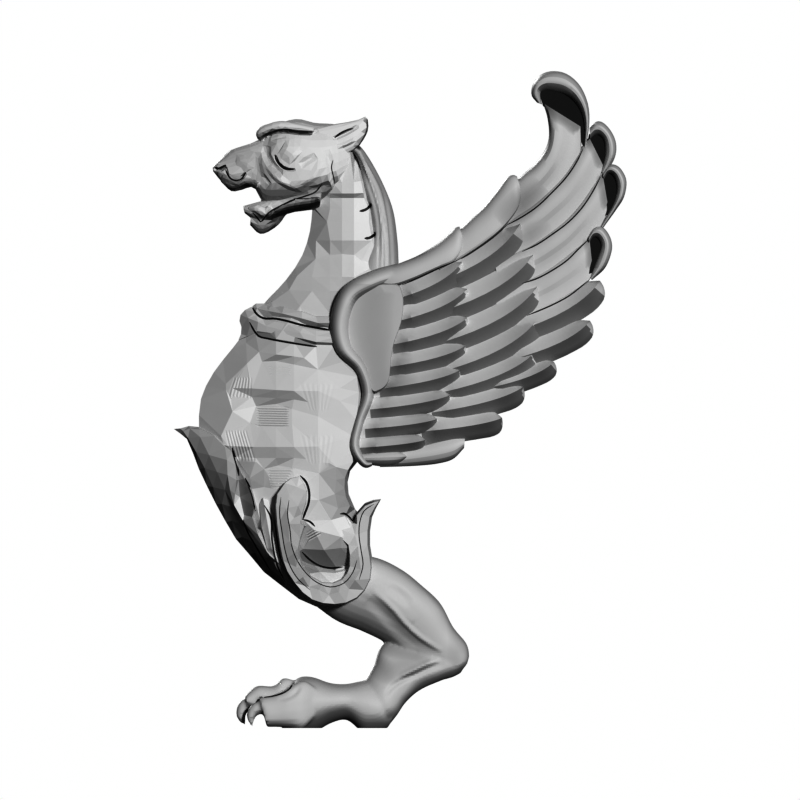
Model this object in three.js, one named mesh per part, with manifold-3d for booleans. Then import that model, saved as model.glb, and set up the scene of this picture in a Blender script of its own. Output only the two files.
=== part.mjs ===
// A griffin carved in one piece, standing on a single lion's leg, as a support for a table or an arm.
// The head and neck of a snarling beast rise from a faceted breast. The breast sits in a cup of
// acanthus leaves, and two raised wings, one on each side, sweep back from the shoulders.
// Millimetres, +Z up. The beast looks along -X, the near side faces -Y, and the XZ plane is its
// plane of symmetry. The origin is on the flat of the heel, where it stands.

import * as THREE from "three";
import { mergeVertices } from "three/addons/utils/BufferGeometryUtils.js";
import Module from "manifold-3d";

const wasm = await Module();
wasm.setup();

// Driving sizes, in millimetres.
const HEIGHT = 724; // from the floor to the top of the wings
const BREAST_DEPTH = 132; // side to side, as are all the depths
const NECK_DEPTH = 72;
const HEAD_DEPTH = 78;
const CUP_DEPTH = 146; // across the cup of leaves
const THIGH_DEPTH = 70;
const HOCK_DEPTH = 38;
const HEEL_DEPTH = 58;
const PAW_DEPTH = 92;
const TOE_DEPTH = 25;
const FEATHER_RISE = 13; // from a feather's edges to its ridge
const PRIMARY_RISE = 5; // from a wing's middle to the face of its long smooth feathers
const PLATE_RISE = 12; // from there to the shoulder plate
const RIM_RISE = 17; // from there to the crest of the rim
const ROW_STEP = 2.5; // from one row of feathers up to the row that laps it
const WING_SINK = 3; // how far the middle of a wing lies inside the breast's side
const WING_INSIDE = 4; // from a wing's middle to its plain inner face
const WING_FLARE = 20; // how far a wing stands further out at its tip than at its root
const LEAF_THICKNESS = 8; // at the free tips
const LEAF_ROOT = 30; // how deep a leaf's body is let into the cup
const EAR_THICKNESS = 7;

// The figure is drawn on squares, so many to its height. Outlines count squares from the origin.
const SQUARES_HIGH = 658;
const SQUARE = HEIGHT / SQUARES_HIGH;

const RIGHT_ANGLE = Math.PI / 2;
const DEGREE = Math.PI / 180;
const FULL_TURN = 2 * Math.PI;

/** A smooth curve through [input, output] pairs that rise in input, held level past its ends. */
function smooth(pairs) {
  const rise = (i, j) => (pairs[j][1] - pairs[i][1]) / (pairs[j][0] - pairs[i][0]);
  const last = pairs.length - 1;
  const slopes = pairs.map((_, i) => rise(Math.max(i - 1, 0), Math.min(i + 1, last)));
  return (input) => {
    const x = THREE.MathUtils.clamp(input, pairs[0][0], pairs[last][0]);
    const beyond = pairs.findIndex((p) => p[0] > x);
    const j = beyond < 0 ? last - 1 : beyond - 1;
    const width = pairs[j + 1][0] - pairs[j][0];
    const t = (x - pairs[j][0]) / width;
    const start = pairs[j][1] * (1 + 2 * t) * (1 - t) ** 2 + slopes[j] * width * t * (1 - t) ** 2;
    const end = pairs[j + 1][1] * (3 - 2 * t) * t ** 2 - slopes[j + 1] * width * (1 - t) * t ** 2;
    return start + end;
  };
}

/** A smooth path through points of any number of coordinates, for t from 0 to 1. */
function path(points) {
  const knots = points.length - 1;
  const tracks = points[0].map((_, axis) => smooth(points.map((p, i) => [i / knots, p[axis]])));
  return (t) => tracks.map((track) => track(t));
}

/** The numbers from 0 to 1 in equal steps. */
function steps(count) {
  return Array.from({ length: count + 1 }, (_, i) => i / count);
}

/** A power of a sine or cosine that keeps its sign, for sections squarer than an ellipse. */
function squared(value, power) {
  return Math.sign(value) * Math.abs(value) ** (2 / power);
}

/** A closed solid from points and triangles, with its faces turned out. */
function solidOf(points, triangles) {
  const build = (order) =>
    new wasm.Manifold(
      new wasm.Mesh({
        numProp: 3,
        vertProperties: new Float32Array(points.flat()),
        triVerts: new Uint32Array(order.flat()),
      }),
    );
  const solid = build(triangles);
  return solid.volume() > 0 ? solid : build(triangles.map(([a, b, c]) => [a, c, b]));
}

/**
 * A solid skinned over closed rings of points, with a fan over each end.
 * With staggered rings, every other one is turned by half a step, and the facets are diamonds.
 */
function skin(rings, staggered = false) {
  const around = rings[0].length;
  const points = rings.flat();
  const triangles = [];
  for (let row = 0; row < rings.length - 1; row++) {
    const leansBack = staggered && row % 2 === 1;
    for (let j = 0; j < around; j++) {
      const a = row * around + j;
      const b = row * around + ((j + 1) % around);
      const c = a + around;
      const d = b + around;
      triangles.push(...(leansBack ? [[a, b, d], [a, d, c]] : [[a, b, c], [b, d, c]]));
    }
  }
  for (const row of [0, rings.length - 1]) {
    const ring = rings[row];
    const centre = [0, 1, 2].map((axis) => ring.reduce((sum, p) => sum + p[axis], 0) / around);
    const hub = points.push(centre) - 1;
    for (let j = 0; j < around; j++) {
      const edge = [row * around + j, row * around + ((j + 1) % around)];
      triangles.push(row === 0 ? [edge[1], edge[0], hub] : [edge[0], edge[1], hub]);
    }
  }
  return solidOf(points, triangles);
}

/** The same solid on the other side of the plane of symmetry, joined to the first. */
function onBothSides(solid) {
  return solid.add(solid.mirror([0, 1, 0]));
}

/** Solids joined into one. */
function joined(solids) {
  return solids.reduce((whole, piece) => whole.add(piece));
}

// Limbs: a top and a bottom outline seen from the side, and a depth.

/**
 * A limb through stations of [top x, top z, bottom x, bottom z, depth], the outlines in squares.
 * Power shapes its section: 2 is an ellipse, and more is squarer.
 */
function limb(stations, { rings = 7, sides = 10, power = 2.4, middle = 0 } = {}) {
  const along = path(stations);
  return skin(
    steps(rings).map((t) => {
      const [topX, topZ, bottomX, bottomZ, depth] = along(t);
      return steps(sides)
        .slice(1)
        .map((turn) => {
          const up = squared(Math.cos(turn * FULL_TURN), power) / 2;
          const out = squared(Math.sin(turn * FULL_TURN), power) / 2;
          return [
            ((topX + bottomX) / 2 + (topX - bottomX) * up) * SQUARE,
            middle - depth * out,
            ((topZ + bottomZ) / 2 + (topZ - bottomZ) * up) * SQUARE,
          ];
        });
    }),
  );
}

/**
 * A horn or roll along [x, y, z, radius] stations: x, z and radius in squares, y in millimetres.
 * Flat is how far it stands out sideways, as a share of its radius.
 */
function roll(stations, { rings = 6, sides = 6, flat = 1 } = {}) {
  const along = path(stations);
  const centre = (t) => {
    const [x, y, z] = along(t);
    return new THREE.Vector3(x * SQUARE, y, z * SQUARE);
  };
  const nudge = 1e-3;
  return skin(
    steps(rings).map((t) => {
      const ahead = centre(Math.min(t + nudge, 1)).sub(centre(Math.max(t - nudge, 0))).normalize();
      const out = new THREE.Vector3(0, -1, 0).addScaledVector(ahead, ahead.y).normalize();
      const side = new THREE.Vector3().crossVectors(ahead, out);
      const radius = along(t)[3] * SQUARE;
      return steps(sides)
        .slice(1)
        .map((turn) => {
          const angle = turn * FULL_TURN;
          return centre(t)
            .addScaledVector(out, flat * radius * Math.cos(angle))
            .addScaledVector(side, radius * Math.sin(angle))
            .toArray();
        });
    }),
  );
}

// Trunk: neck and breast in one, cut in flat facets.

const TRUNK_FRONT = smooth([
  [138, -74], [158, -96], [188, -131], [248, -163], [303, -177], [340, -170], [367, -153], [393, -133],
  [426, -111.5], [447, -89], [476, -71.5], [508, -63.5], [543, -58], [586, -48],
]);
const TRUNK_BACK = smooth([
  [138, -38], [168, -22], [216, -17], [248, -28], [267, -17], [328, 6], [398, 16], [476, 23.5],
  [514, 17.5], [549, 2.5], [580, -17],
]);
const TRUNK_DEPTH = smooth([
  [138, 0.3 * BREAST_DEPTH], [168, 0.72 * BREAST_DEPTH], [228, 0.92 * BREAST_DEPTH],
  [328, BREAST_DEPTH], [383, 0.9 * BREAST_DEPTH], [428, 1.45 * NECK_DEPTH],
  [473, 1.08 * NECK_DEPTH], [518, NECK_DEPTH], [588, 0.9 * NECK_DEPTH],
]);
const TRUNK_ROWS = 15;
const TRUNK_FACETS = 12;

/** How deep an upright form is, as a share of its depth, at a share of the way from its keel to its back. */
const KEELED = smooth([
  [0, 0],
  [0.07, 0.18],
  [0.15, 0.35],
  [0.25, 0.56],
  [0.37, 0.76],
  [0.5, 0.9],
  [0.63, 1],
  [0.75, 1],
  [0.85, 0.97],
  [0.93, 0.86],
  [1, 0],
]);

/** A point on an upright form, at a height in squares and an angle from its keel, so many squares out. */
function around(height, angle, { front, back, depth }, out = 0) {
  const middle = (front(height) + back(height)) / 2;
  const half = (back(height) - front(height)) / 2 + out;
  const deep = Math.sign(Math.sin(angle)) * KEELED((1 - Math.cos(angle)) / 2);
  return [
    (middle - half * Math.cos(angle)) * SQUARE,
    -(depth(height) / 2 + out * SQUARE) * deep,
    height * SQUARE,
  ];
}

const TRUNK = { front: TRUNK_FRONT, back: TRUNK_BACK, depth: TRUNK_DEPTH };

function trunk() {
  const low = 140;
  const high = 586;
  return skin(
    steps(TRUNK_ROWS).map((t, row) =>
      steps(TRUNK_FACETS)
        .slice(1)
        .map((turn) => {
          const step = row % 2 ? 0.5 / TRUNK_FACETS : 0;
          return around(THREE.MathUtils.lerp(low, high, t), (turn + step) * FULL_TURN, TRUNK);
        }),
    ),
    true,
  );
}

// The collar's section as [out from the trunk, up], in squares: a narrow fold, a groove, a wide fold.
const COLLAR_SECTION = [
  [-6, -23],
  [4, -15],
  [5, -8],
  [15, 1],
  [10, 13],
  [-8, 19],
];

/** The folded collar round the foot of the neck, lower behind than in front. */
function collar() {
  const stops = 10;
  const sides = COLLAR_SECTION.length;
  const frontHeight = 410;
  const backHeight = 394;
  const rings = steps(stops)
    .slice(1)
    .map((turn) => {
      const angle = turn * FULL_TURN;
      const height = THREE.MathUtils.lerp(frontHeight, backHeight, (1 - Math.cos(angle)) / 2);
      return COLLAR_SECTION.map(([out, up]) => around(height + up, angle, TRUNK, out));
    });
  const triangles = [];
  for (let i = 0; i < stops; i++) {
    for (let j = 0; j < sides; j++) {
      const next = (j + 1) % sides;
      const a = i * sides;
      const c = ((i + 1) % stops) * sides;
      triangles.push([a + j, a + next, c + j], [a + next, c + next, c + j]);
    }
  }
  return solidOf(rings.flat(), triangles);
}

/** Long locks of the mane down the back of the neck, as [from angle, to angle, top, bottom, radius]. */
const LOCKS = [
  [138, 114, 568, 516, 7],
  [150, 120, 566, 485, 8],
];

function mane() {
  const lock = ([fromAngle, toAngle, top, bottom, radius]) =>
    roll(
      steps(4).map((t) => {
        const height = THREE.MathUtils.lerp(top, bottom, t);
        const [x, y, z] = around(height, THREE.MathUtils.lerp(fromAngle, toAngle, t) * DEGREE, TRUNK, -2);
        return [x / SQUARE, y, z / SQUARE, radius * Math.sin((0.12 + 0.8 * t) * 2 * RIGHT_ANGLE)];
      }),
      { rings: 3, sides: 4 },
    );
  return joined(LOCKS.map((one) => onBothSides(lock(one))));
}

// Head: skull and muzzle, jaw, brows and ears.

const HEAD_STATIONS = [
  [-161.5, 561, -161, 557, 0.16 * HEAD_DEPTH],
  [-154, 569, -153, 547, 0.34 * HEAD_DEPTH],
  [-144, 577.5, -143, 537, 0.42 * HEAD_DEPTH],
  [-133, 581.5, -133, 538, 0.46 * HEAD_DEPTH],
  [-121, 585.5, -120, 540.5, 0.52 * HEAD_DEPTH],
  [-108, 591, -110, 522, 0.66 * HEAD_DEPTH],
  [-95, 604, -95, 520, 0.86 * HEAD_DEPTH],
  [-77, 610, -77, 519, 0.98 * HEAD_DEPTH],
  [-59, 607.5, -59, 521, HEAD_DEPTH],
  [-41, 604, -41, 532, 0.92 * HEAD_DEPTH],
  [-24, 600, -24, 550, 0.66 * HEAD_DEPTH],
];
const JAW_STATIONS = [
  [-60, 544, -60, 519, 0.8 * HEAD_DEPTH],
  [-82, 540, -82, 515, 0.68 * HEAD_DEPTH],
  [-98, 532, -98, 510, 0.54 * HEAD_DEPTH],
  [-111, 525, -111, 505, 0.44 * HEAD_DEPTH],
  [-122, 524.5, -122, 510, 0.4 * HEAD_DEPTH],
  [-131, 522, -129.5, 515, 0.26 * HEAD_DEPTH],
];
const CHIN_STATIONS = [
  [-91, 522, -92, 512, 0.2 * HEAD_DEPTH],
  [-100, 522, -101, 498, 0.26 * HEAD_DEPTH],
  [-112, 520, -113, 493, 0.26 * HEAD_DEPTH],
  [-121, 520, -125, 503, 0.2 * HEAD_DEPTH],
];

/** A roll on both sides of the head through [x, z, share of the head's depth, radius] stations. */
function onHead(stations, options) {
  const placed = stations.map(([x, z, share, radius]) => [x, -share * HEAD_DEPTH, z, radius]);
  return onBothSides(roll(placed, { rings: 3, sides: 4, ...options }));
}

function features() {
  const brow = onHead([
    [-113, 590, 0.18, 3],
    [-110, 595, 0.22, 6],
    [-93, 601.5, 0.3, 5],
    [-60, 598, 0.36, 3],
  ]);
  const cheek = onHead([
    [-108, 565, 0.3, 2],
    [-99, 553, 0.36, 6],
    [-82, 544, 0.43, 7],
    [-61, 544, 0.42, 4],
  ]);
  const lip = onHead([
    [-154, 554, 0.14, 2.5],
    [-142, 544, 0.19, 4.5],
    [-128, 547, 0.22, 4],
    [-116, 542, 0.26, 3],
  ]);
  return joined([brow, cheek, lip]);
}

/** An ear: a hollowed blade from its root to its tip, with a bowed back edge. */
function ear() {
  const front = { root: [-50, 602], tip: [-9.5, 610.5] };
  const back = { root: [-19, 576], tip: [-7.5, 609] };
  const bow = 7;
  const rings = steps(3).map((t) => {
    const swell = bow * Math.sin(t * 2 * RIGHT_ANGLE);
    const frontX = THREE.MathUtils.lerp(front.root[0], front.tip[0], t);
    const frontZ = THREE.MathUtils.lerp(front.root[1], front.tip[1], t);
    const backX = THREE.MathUtils.lerp(back.root[0], back.tip[0], t) + swell;
    const backZ = THREE.MathUtils.lerp(back.root[1], back.tip[1], t) - swell / 2;
    const half = (EAR_THICKNESS / 2) * (1 - 0.7 * t);
    const middle = -(0.34 + 0.08 * t) * HEAD_DEPTH;
    const at = (share, depth) => [
      THREE.MathUtils.lerp(frontX, backX, share) * SQUARE,
      middle + depth,
      THREE.MathUtils.lerp(frontZ, backZ, share) * SQUARE,
    ];
    const hollow = half * (0.6 - t);
    return [at(0, -half), at(0.5, hollow), at(1, -half), at(1, half), at(0.5, 2 * half), at(0, half)];
  });
  return onBothSides(skin(rings));
}

function head() {
  return joined([
    limb(HEAD_STATIONS, { rings: 10, sides: 10, power: 2.5 }),
    limb(JAW_STATIONS, { rings: 5, sides: 8, power: 2.5 }),
    limb(CHIN_STATIONS, { rings: 4, sides: 6 }),
    features(),
    ear(),
  ]);
}

// Leg: thigh, shank and paw.

const THIGH_STATIONS = [
  [-29, 175, -61, 124, 0.9 * THIGH_DEPTH],
  [3, 170, -37, 107, THIGH_DEPTH],
  [28, 158, -11, 96.5, THIGH_DEPTH],
  [47, 143, 14, 84, 0.94 * THIGH_DEPTH],
  [66, 125, 28, 73, 0.82 * THIGH_DEPTH],
  [79, 101, 46, 60, 0.66 * THIGH_DEPTH],
  [92, 85, 64, 49, HOCK_DEPTH],
  [95, 73, 76, 50, 0.9 * HOCK_DEPTH],
  [93, 64, 85, 54, 0.5 * HOCK_DEPTH],
];
const SHANK_STATIONS = [
  [72, 88, 87, 55, 0.9 * HOCK_DEPTH],
  [46, 88, 66, 47, HOCK_DEPTH],
  [11, 86, 46, 38, 1.1 * HOCK_DEPTH],
  [0, 64, 32, 26, 0.84 * HEEL_DEPTH],
  [-10, 46, 24, 12, 0.98 * HEEL_DEPTH],
  [-18, 36, 16, 1, HEEL_DEPTH],
];
const FOOT_STATIONS = [
  [25, 21, 15, 0, 0.7 * HEEL_DEPTH],
  [8, 46, 3, -5, HEEL_DEPTH],
  [-10, 47, -12, -4, 1.02 * HEEL_DEPTH],
  [-28, 44, -27, 8, 1.02 * HEEL_DEPTH],
  [-44, 45, -43, 5, 0.74 * PAW_DEPTH],
  [-62, 51, -62, -5, 0.86 * PAW_DEPTH],
  [-76, 50, -80, -4, 0.94 * PAW_DEPTH],
  [-88, 38, -93, 0, 0.9 * PAW_DEPTH],
];
const OUTER_TOE_STATIONS = [
  [-68, 49, -68, -1, TOE_DEPTH],
  [-83, 43, -84, 0, TOE_DEPTH],
  [-98, 34, -96, 1, TOE_DEPTH],
  [-116, 31, -108, 1, 0.8 * TOE_DEPTH],
];
const INNER_TOE_STATIONS = [
  [-77, 46, -78, 6, TOE_DEPTH],
  [-90, 50, -90, 8, TOE_DEPTH],
  [-101, 42, -101, 11, 0.95 * TOE_DEPTH],
  [-117, 42, -115, 16, 0.95 * TOE_DEPTH],
  [-131, 33, -129, 22, 0.7 * TOE_DEPTH],
];
const OUTER_CLAW_STATIONS = [
  [-109, 19, 7],
  [-119, 20, 7.5],
  [-123, 11, 5],
  [-121, 0, 0.8],
];
const INNER_CLAW_STATIONS = [
  [-120, 25, 7],
  [-129.5, 23, 7.5],
  [-132.5, 13, 5],
  [-128.5, 2, 0.8],
];

/** Two toes and their claws on one side, set out across the paw. */
function toes() {
  const outer = -(PAW_DEPTH - TOE_DEPTH) / 2;
  const inner = -(PAW_DEPTH - TOE_DEPTH) / 6;
  const claw = (stations, y) =>
    roll(stations.map(([x, z, radius]) => [x, y, z, radius]), { rings: 3, sides: 4 });
  return onBothSides(
    joined([
      limb(OUTER_TOE_STATIONS, { rings: 3, sides: 6, middle: outer }),
      limb(INNER_TOE_STATIONS, { rings: 4, sides: 6, middle: inner }),
      claw(OUTER_CLAW_STATIONS, outer),
      claw(INNER_CLAW_STATIONS, inner),
    ]),
  );
}

function leg() {
  return joined([
    limb(THIGH_STATIONS, { rings: 6, sides: 8 }),
    limb(SHANK_STATIONS, { rings: 5, sides: 8 }),
    limb(FOOT_STATIONS, { rings: 7, sides: 8, power: 2.6 }),
    toes(),
  ]);
}

// Cup of acanthus leaves.

const CUP = {
  front: smooth([
    [120, -58], [134, -88], [154, -113], [178, -133], [205, -147], [225, -157], [251, -170], [273, -179],
    [300, -184],
  ]),
  back: smooth([[122, -34], [134, -12], [148, -4], [166, -3], [188, -6], [206, -6], [228, -12], [258, -18]]),
  depth: smooth([
    [122, 0.35 * CUP_DEPTH], [134, 0.66 * CUP_DEPTH], [158, 0.88 * CUP_DEPTH], [228, CUP_DEPTH],
    [300, 0.98 * CUP_DEPTH],
  ]),
};

function cup() {
  const bottom = 122;
  const brim = 144;
  return skin(
    steps(2).map((t) =>
      steps(14)
        .slice(1)
        .map((turn) => around(THREE.MathUtils.lerp(bottom, brim, t), turn * FULL_TURN, CUP)),
    ),
  );
}

/**
 * A leaf that lies on the cup. Spine stations are [height, angle from the front, half width], in squares
 * and degrees. Relief says how far it stands out at a place across it, in squares, and lean how far its
 * tip is carried forward or back. Its body is one with the cup, and only its tip is thin and free.
 */
function leaf(spine, { relief, lean = 0, rows = 6, columns = 4 }) {
  const along = path(spine);
  return skin(
    steps(rows).map((t) => {
      const [height, middle, half] = along(t);
      const bend = Math.max(0, (t - 0.7) / 0.3) ** 2;
      const sunk = THREE.MathUtils.lerp(LEAF_ROOT, LEAF_THICKNESS, Math.sqrt(bend)) / SQUARE;
      const place = (share, out) => {
        const [x, y, z] = around(height, (middle + (share * 2 - 1) * half) * DEGREE, CUP, out);
        return [x + lean * SQUARE * bend, y, z];
      };
      const outer = steps(columns).map((share) => place(share, relief(share * 2 - 1)));
      return [...outer, place(0.9, -sunk), place(0.1, -sunk)];
    }),
  );
}

/** The thick U-shaped roll round the hollow on the side of the cup, ending in two leaf tips. */
function hollowRim() {
  const onCup = ([x, z], radius) => {
    const front = CUP.front(z);
    const back = CUP.back(z);
    const share = Math.min((x - front) / (back - front), 0.97);
    return [x, (-CUP.depth(z) / 2) * KEELED(share), z, radius];
  };
  return roll(
    [
      onCup([-74, 254], 1),
      onCup([-82, 238], 14),
      onCup([-84, 215], 16),
      onCup([-83, 188], 12),
      onCup([-80, 162], 13),
      onCup([-65, 140], 14),
      onCup([-43, 134], 14),
      onCup([-22, 146], 14),
      onCup([-15, 168], 12),
      onCup([-19, 192], 14),
      onCup([-12, 214], 10),
      onCup([6, 229], 1),
    ],
    { rings: 10, sides: 5, flat: 0.6 },
  );
}

function leaves() {
  const ribbed = (height) => (across) => height * (0.3 + 0.7 * Math.cos(across * 4 * RIGHT_ANGLE));
  const rounded = (height) => (across) => height * Math.sqrt(1 - across * across);
  return joined([
    leaf(
      [[124, 0, 30], [168, 0, 48], [218, 0, 62], [258, 0, 62], [284, 0, 56], [301, 0, 34]],
      { relief: ribbed(4), lean: -15, rows: 5, columns: 6 },
    ),
    onBothSides(
      leaf([[128, 42, 9], [158, 55, 10], [198, 66, 9], [233, 74, 3]], {
        relief: rounded(8),
        rows: 3,
      }),
    ),
    leaf([[124, 180, 40], [158, 180, 52], [188, 180, 50], [213, 180, 31], [229, 180, 5]], {
      relief: ribbed(3),
      lean: 15,
      rows: 5,
    }),
    onBothSides(hollowRim()),
  ]);
}

// Wings: a rolled leading edge, a plain plate at the shoulder and three rows of feathers.

const KEEL = 6 * WING_INSIDE;
const ROOT_TUCK = 3;
const WING_ROOT_X = -4;
const WING_TIP_X = 246;

/** How far a wing's middle stands from the plane of symmetry, at a place in squares. */
function wingStand(x) {
  return BREAST_DEPTH / 2 - WING_SINK + (WING_FLARE * (x - WING_ROOT_X)) / (WING_TIP_X - WING_ROOT_X);
}

/** A wing point: x and z in squares, and depth in millimetres outward from the wing's middle. */
function wingPoint(x, z, depth) {
  return [x * SQUARE, -wingStand(x) - depth, z * SQUARE];
}

// A feather's widths above and below its ridge, as shares, at places from its root to its tip.
const FEATHER_STATIONS = [
  [0, 1, 1],
  [0.6, 0.8, 1],
  [0.9, 0.3, 0.78],
  [1, 0.03, 0.2],
];

/**
 * A feather along a ridge from its root to its tip. Above and below are its widths each side of the
 * ridge. Its edges lie at lift from the wing's middle, and its ridge at rise more. Both are less at its
 * root, which is tucked under the row before. Its keel runs deep and is cut off later.
 */
function feather(root, bend, tip, { above, below, lift, rise }) {
  const ridge = new THREE.QuadraticBezierCurve(
    new THREE.Vector2(...root),
    new THREE.Vector2(...bend),
    new THREE.Vector2(...tip),
  );
  return skin(
    FEATHER_STATIONS.map(([t, aboveShare, belowShare]) => {
      const middle = ridge.getPoint(t);
      const ahead = ridge.getTangent(t);
      const low = lift - ROOT_TUCK * (1 - t);
      const high = low + rise * (0.6 + 0.4 * t) * (t === 1 ? 0.4 : 1);
      const edge = (width) => wingPoint(middle.x - ahead.y * width, middle.y + ahead.x * width, low);
      return [
        edge(above * aboveShare),
        wingPoint(middle.x, middle.y, high),
        edge(-below * belowShare),
        wingPoint(middle.x, middle.y, -KEEL),
      ];
    }),
  );
}

/**
 * A row of feathers from a curve of roots to a curve of tips. Spread gives the first and the last
 * feather's spacing, in squares, and each overlaps the next by a part of it.
 */
function featherRow(count, { roots, tips, spread, lift, rise = FEATHER_RISE }) {
  const rootAt = path(roots);
  const tipAt = path(tips);
  return steps(count - 1).map((t) => {
    const root = rootAt(t);
    const tip = tipAt(t);
    const bend = [THREE.MathUtils.lerp(root[0], tip[0], 0.75), THREE.MathUtils.lerp(root[1], tip[1], 0.36)];
    const width = THREE.MathUtils.lerp(spread[0], spread[1], t);
    return feather(root, bend, tip, { above: 0.75 * width, below: 0.65 * width, lift, rise });
  });
}

/**
 * A band on the wing's face through [x, z, half width] stations, with a keel like a feather's. It has
 * one crest, or two to make it rounder.
 */
function band(stations, rise, rings, round = false) {
  const along = path(stations);
  const nudge = 1e-3;
  return skin(
    steps(rings).map((t) => {
      const [x, z, half] = along(t);
      const before = along(Math.max(t - nudge, 0));
      const after = along(Math.min(t + nudge, 1));
      const ahead = new THREE.Vector2(after[0] - before[0], after[1] - before[1]).normalize();
      const place = (share, depth) => {
        const across = half * share;
        return wingPoint(x - ahead.y * across, z + ahead.x * across, depth);
      };
      const crest = round ? [place(-0.5, rise), place(0.5, rise)] : [place(0.2, rise)];
      return [place(-1, 0), ...crest, place(1, 0), place(0, -KEEL)];
    }),
  );
}

/** A rolled feather end: a horn laid on the wing's middle. */
function curl(stations, options) {
  return roll(stations.map(([x, z, radius]) => [x, -wingStand(x), z, radius]), options);
}

/** The plain plate over the shoulder, inside the bend of the rim. */
function shoulderPlate() {
  const corners = [
    [-32, 428],
    [-9, 444],
    [22, 446],
    [29, 424],
    [22, 390],
    [15, 350],
    [2, 337],
    [-12, 362],
    [-32, 388],
  ];
  const outline = new THREE.Shape(corners.map((p) => new THREE.Vector2(...p)));
  const thick = 2 * PLATE_RISE;
  const plate = new THREE.ExtrudeGeometry(outline, { depth: thick, bevelEnabled: false });
  plate.deleteAttribute("normal");
  plate.deleteAttribute("uv");
  const { attributes, index } = mergeVertices(plate);
  const points = [];
  for (let i = 0; i < attributes.position.count; i++) {
    const [x, z, depth] = new THREE.Vector3().fromBufferAttribute(attributes.position, i).toArray();
    points.push(wingPoint(x, z, depth - thick / 2));
  }
  const triangles = [];
  for (let i = 0; i < index.count; i += 3) {
    triangles.push([index.getX(i), index.getX(i + 1), index.getX(i + 2)]);
  }
  return solidOf(points, triangles);
}

/** The flesh that carries a wing out from the trunk. */
function wingRoot() {
  const [x, z] = [-8, 388];
  const reach = wingStand(WING_ROOT_X);
  return skin(
    [0, 0.6, 1].map((t) =>
      steps(7)
        .slice(1)
        .map((turn) => {
          const size = 1 - 0.25 * t * t;
          const across = 22 * size * Math.cos(turn * FULL_TURN);
          const up = 48 * size * Math.sin(turn * FULL_TURN);
          return [(x + across) * SQUARE, -reach * t, (z + up) * SQUARE];
        }),
    ),
  );
}

function wing() {
  const rim = [
    [-10, 265, 4],
    [-20, 282, 5],
    [-15, 306, 5],
    [-6, 334, 6],
    [-13, 360, 7],
    [-30, 380, 8],
    [-35, 406, 9],
    [-24, 434, 10],
    [1, 448, 11],
    [26, 455, 11],
  ];
  const firstCovert = [[14, 450, 10], [46, 462.5, 10.5], [68, 474, 13.5], [85, 486.5, 14.5]];
  const secondCovert = [[68, 476, 12], [103, 496.5, 14], [128, 520.5, 15], [142.5, 541, 13.5]];
  const primaries = [
    [[121, 513, 17], [157, 539, 17.5], [188, 575, 20], [190, 635, 20]],
    [[126, 485, 20], [174, 511, 19], [210, 551, 21], [227, 597, 13]],
    [[126, 456, 20], [174, 475, 19], [212, 507, 21], [238, 556, 13]],
    [[131, 425, 20], [172, 440, 19], [209, 464, 21], [226, 494, 13]],
  ];
  const greatCurl = [
    [213.5, 598, 2],
    [210, 622, 6],
    [197, 641, 12.5],
    [179, 645.5, 13.8],
    [170, 640, 14],
    [170, 632, 10],
  ];
  const curls = [
    [[240, 566, 2], [237, 585, 6.5], [229, 597.5, 9.5], [221, 598, 9]],
    [[235, 508, 2], [245, 531, 8], [241, 550, 11.5], [234, 553, 10]],
    [[220, 450, 2], [230, 468, 8], [227.5, 488, 11], [221, 493, 9.5]],
  ];
  const carvedFace = joined([
    shoulderPlate(),
    band(rim, RIM_RISE, 11, true),
    band(firstCovert, 0.95 * RIM_RISE, 3),
    band(secondCovert, 0.8 * RIM_RISE, 3),
    ...featherRow(9, {
      roots: [[18, 428], [12, 383], [1, 339], [-17, 301], [-17, 270]],
      tips: [[87, 467], [94, 412], [87, 360], [64, 308], [31, 272]],
      spread: [25, 15],
      lift: 2 * ROW_STEP,
    }),
    ...featherRow(8, {
      roots: [[56, 444], [56, 392], [58, 344], [46, 301], [9, 276]],
      tips: [[144, 505], [160, 452], [161, 396], [146, 335], [89, 282]],
      spread: [28, 23],
      lift: ROW_STEP,
    }),
    ...featherRow(3, {
      roots: [[131, 394], [126, 366], [108, 339]],
      tips: [[224, 448], [214, 408], [178, 368]],
      spread: [27, 20],
      lift: 0,
    }),
    ...primaries.map((stations) => band(stations, PRIMARY_RISE, 4)),
    curl(greatCurl, { rings: 7 }),
    ...curls.map((stations) => curl(stations, { rings: 3, sides: 4 })),
  ]);
  return carvedFace.subtract(insideOfWing()).add(wingRoot());
}

/** All that lies inward of a wing's inner face. */
function insideOfWing() {
  const reach = SQUARES_HIGH;
  return skin(
    [-WING_INSIDE, -2 * BREAST_DEPTH].map((depth) => [
      wingPoint(-reach, -reach, depth),
      wingPoint(reach, -reach, depth),
      wingPoint(reach, 2 * reach, depth),
      wingPoint(-reach, 2 * reach, depth),
    ]),
  );
}

/** The ground, as a block to cut the sole flat. */
function ground() {
  const side = 2 * HEIGHT;
  const block = new THREE.BoxGeometry(side, side, side).translate(0, 0, -side / 2);
  block.deleteAttribute("normal");
  block.deleteAttribute("uv");
  const merged = mergeVertices(block);
  return new wasm.Manifold(
    new wasm.Mesh({
      numProp: 3,
      vertProperties: new Float32Array(merged.attributes.position.array),
      triVerts: new Uint32Array(merged.index.array),
    }),
  );
}

function griffin() {
  const body = joined([trunk(), collar(), mane(), head(), cup(), leaves(), leg()]);
  return joined([body, onBothSides(wing())]).subtract(ground());
}

const carved = griffin().getMesh();
const geometry = new THREE.BufferGeometry();
geometry.setAttribute("position", new THREE.BufferAttribute(carved.vertProperties, 3));
geometry.setIndex(new THREE.BufferAttribute(carved.triVerts, 1));
geometry.computeVertexNormals();

const mesh = new THREE.Mesh(
  geometry,
  new THREE.MeshStandardMaterial({ color: 0xb4b4b4, roughness: 0.6, metalness: 0, flatShading: true }),
);
mesh.name = "griffin";

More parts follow.
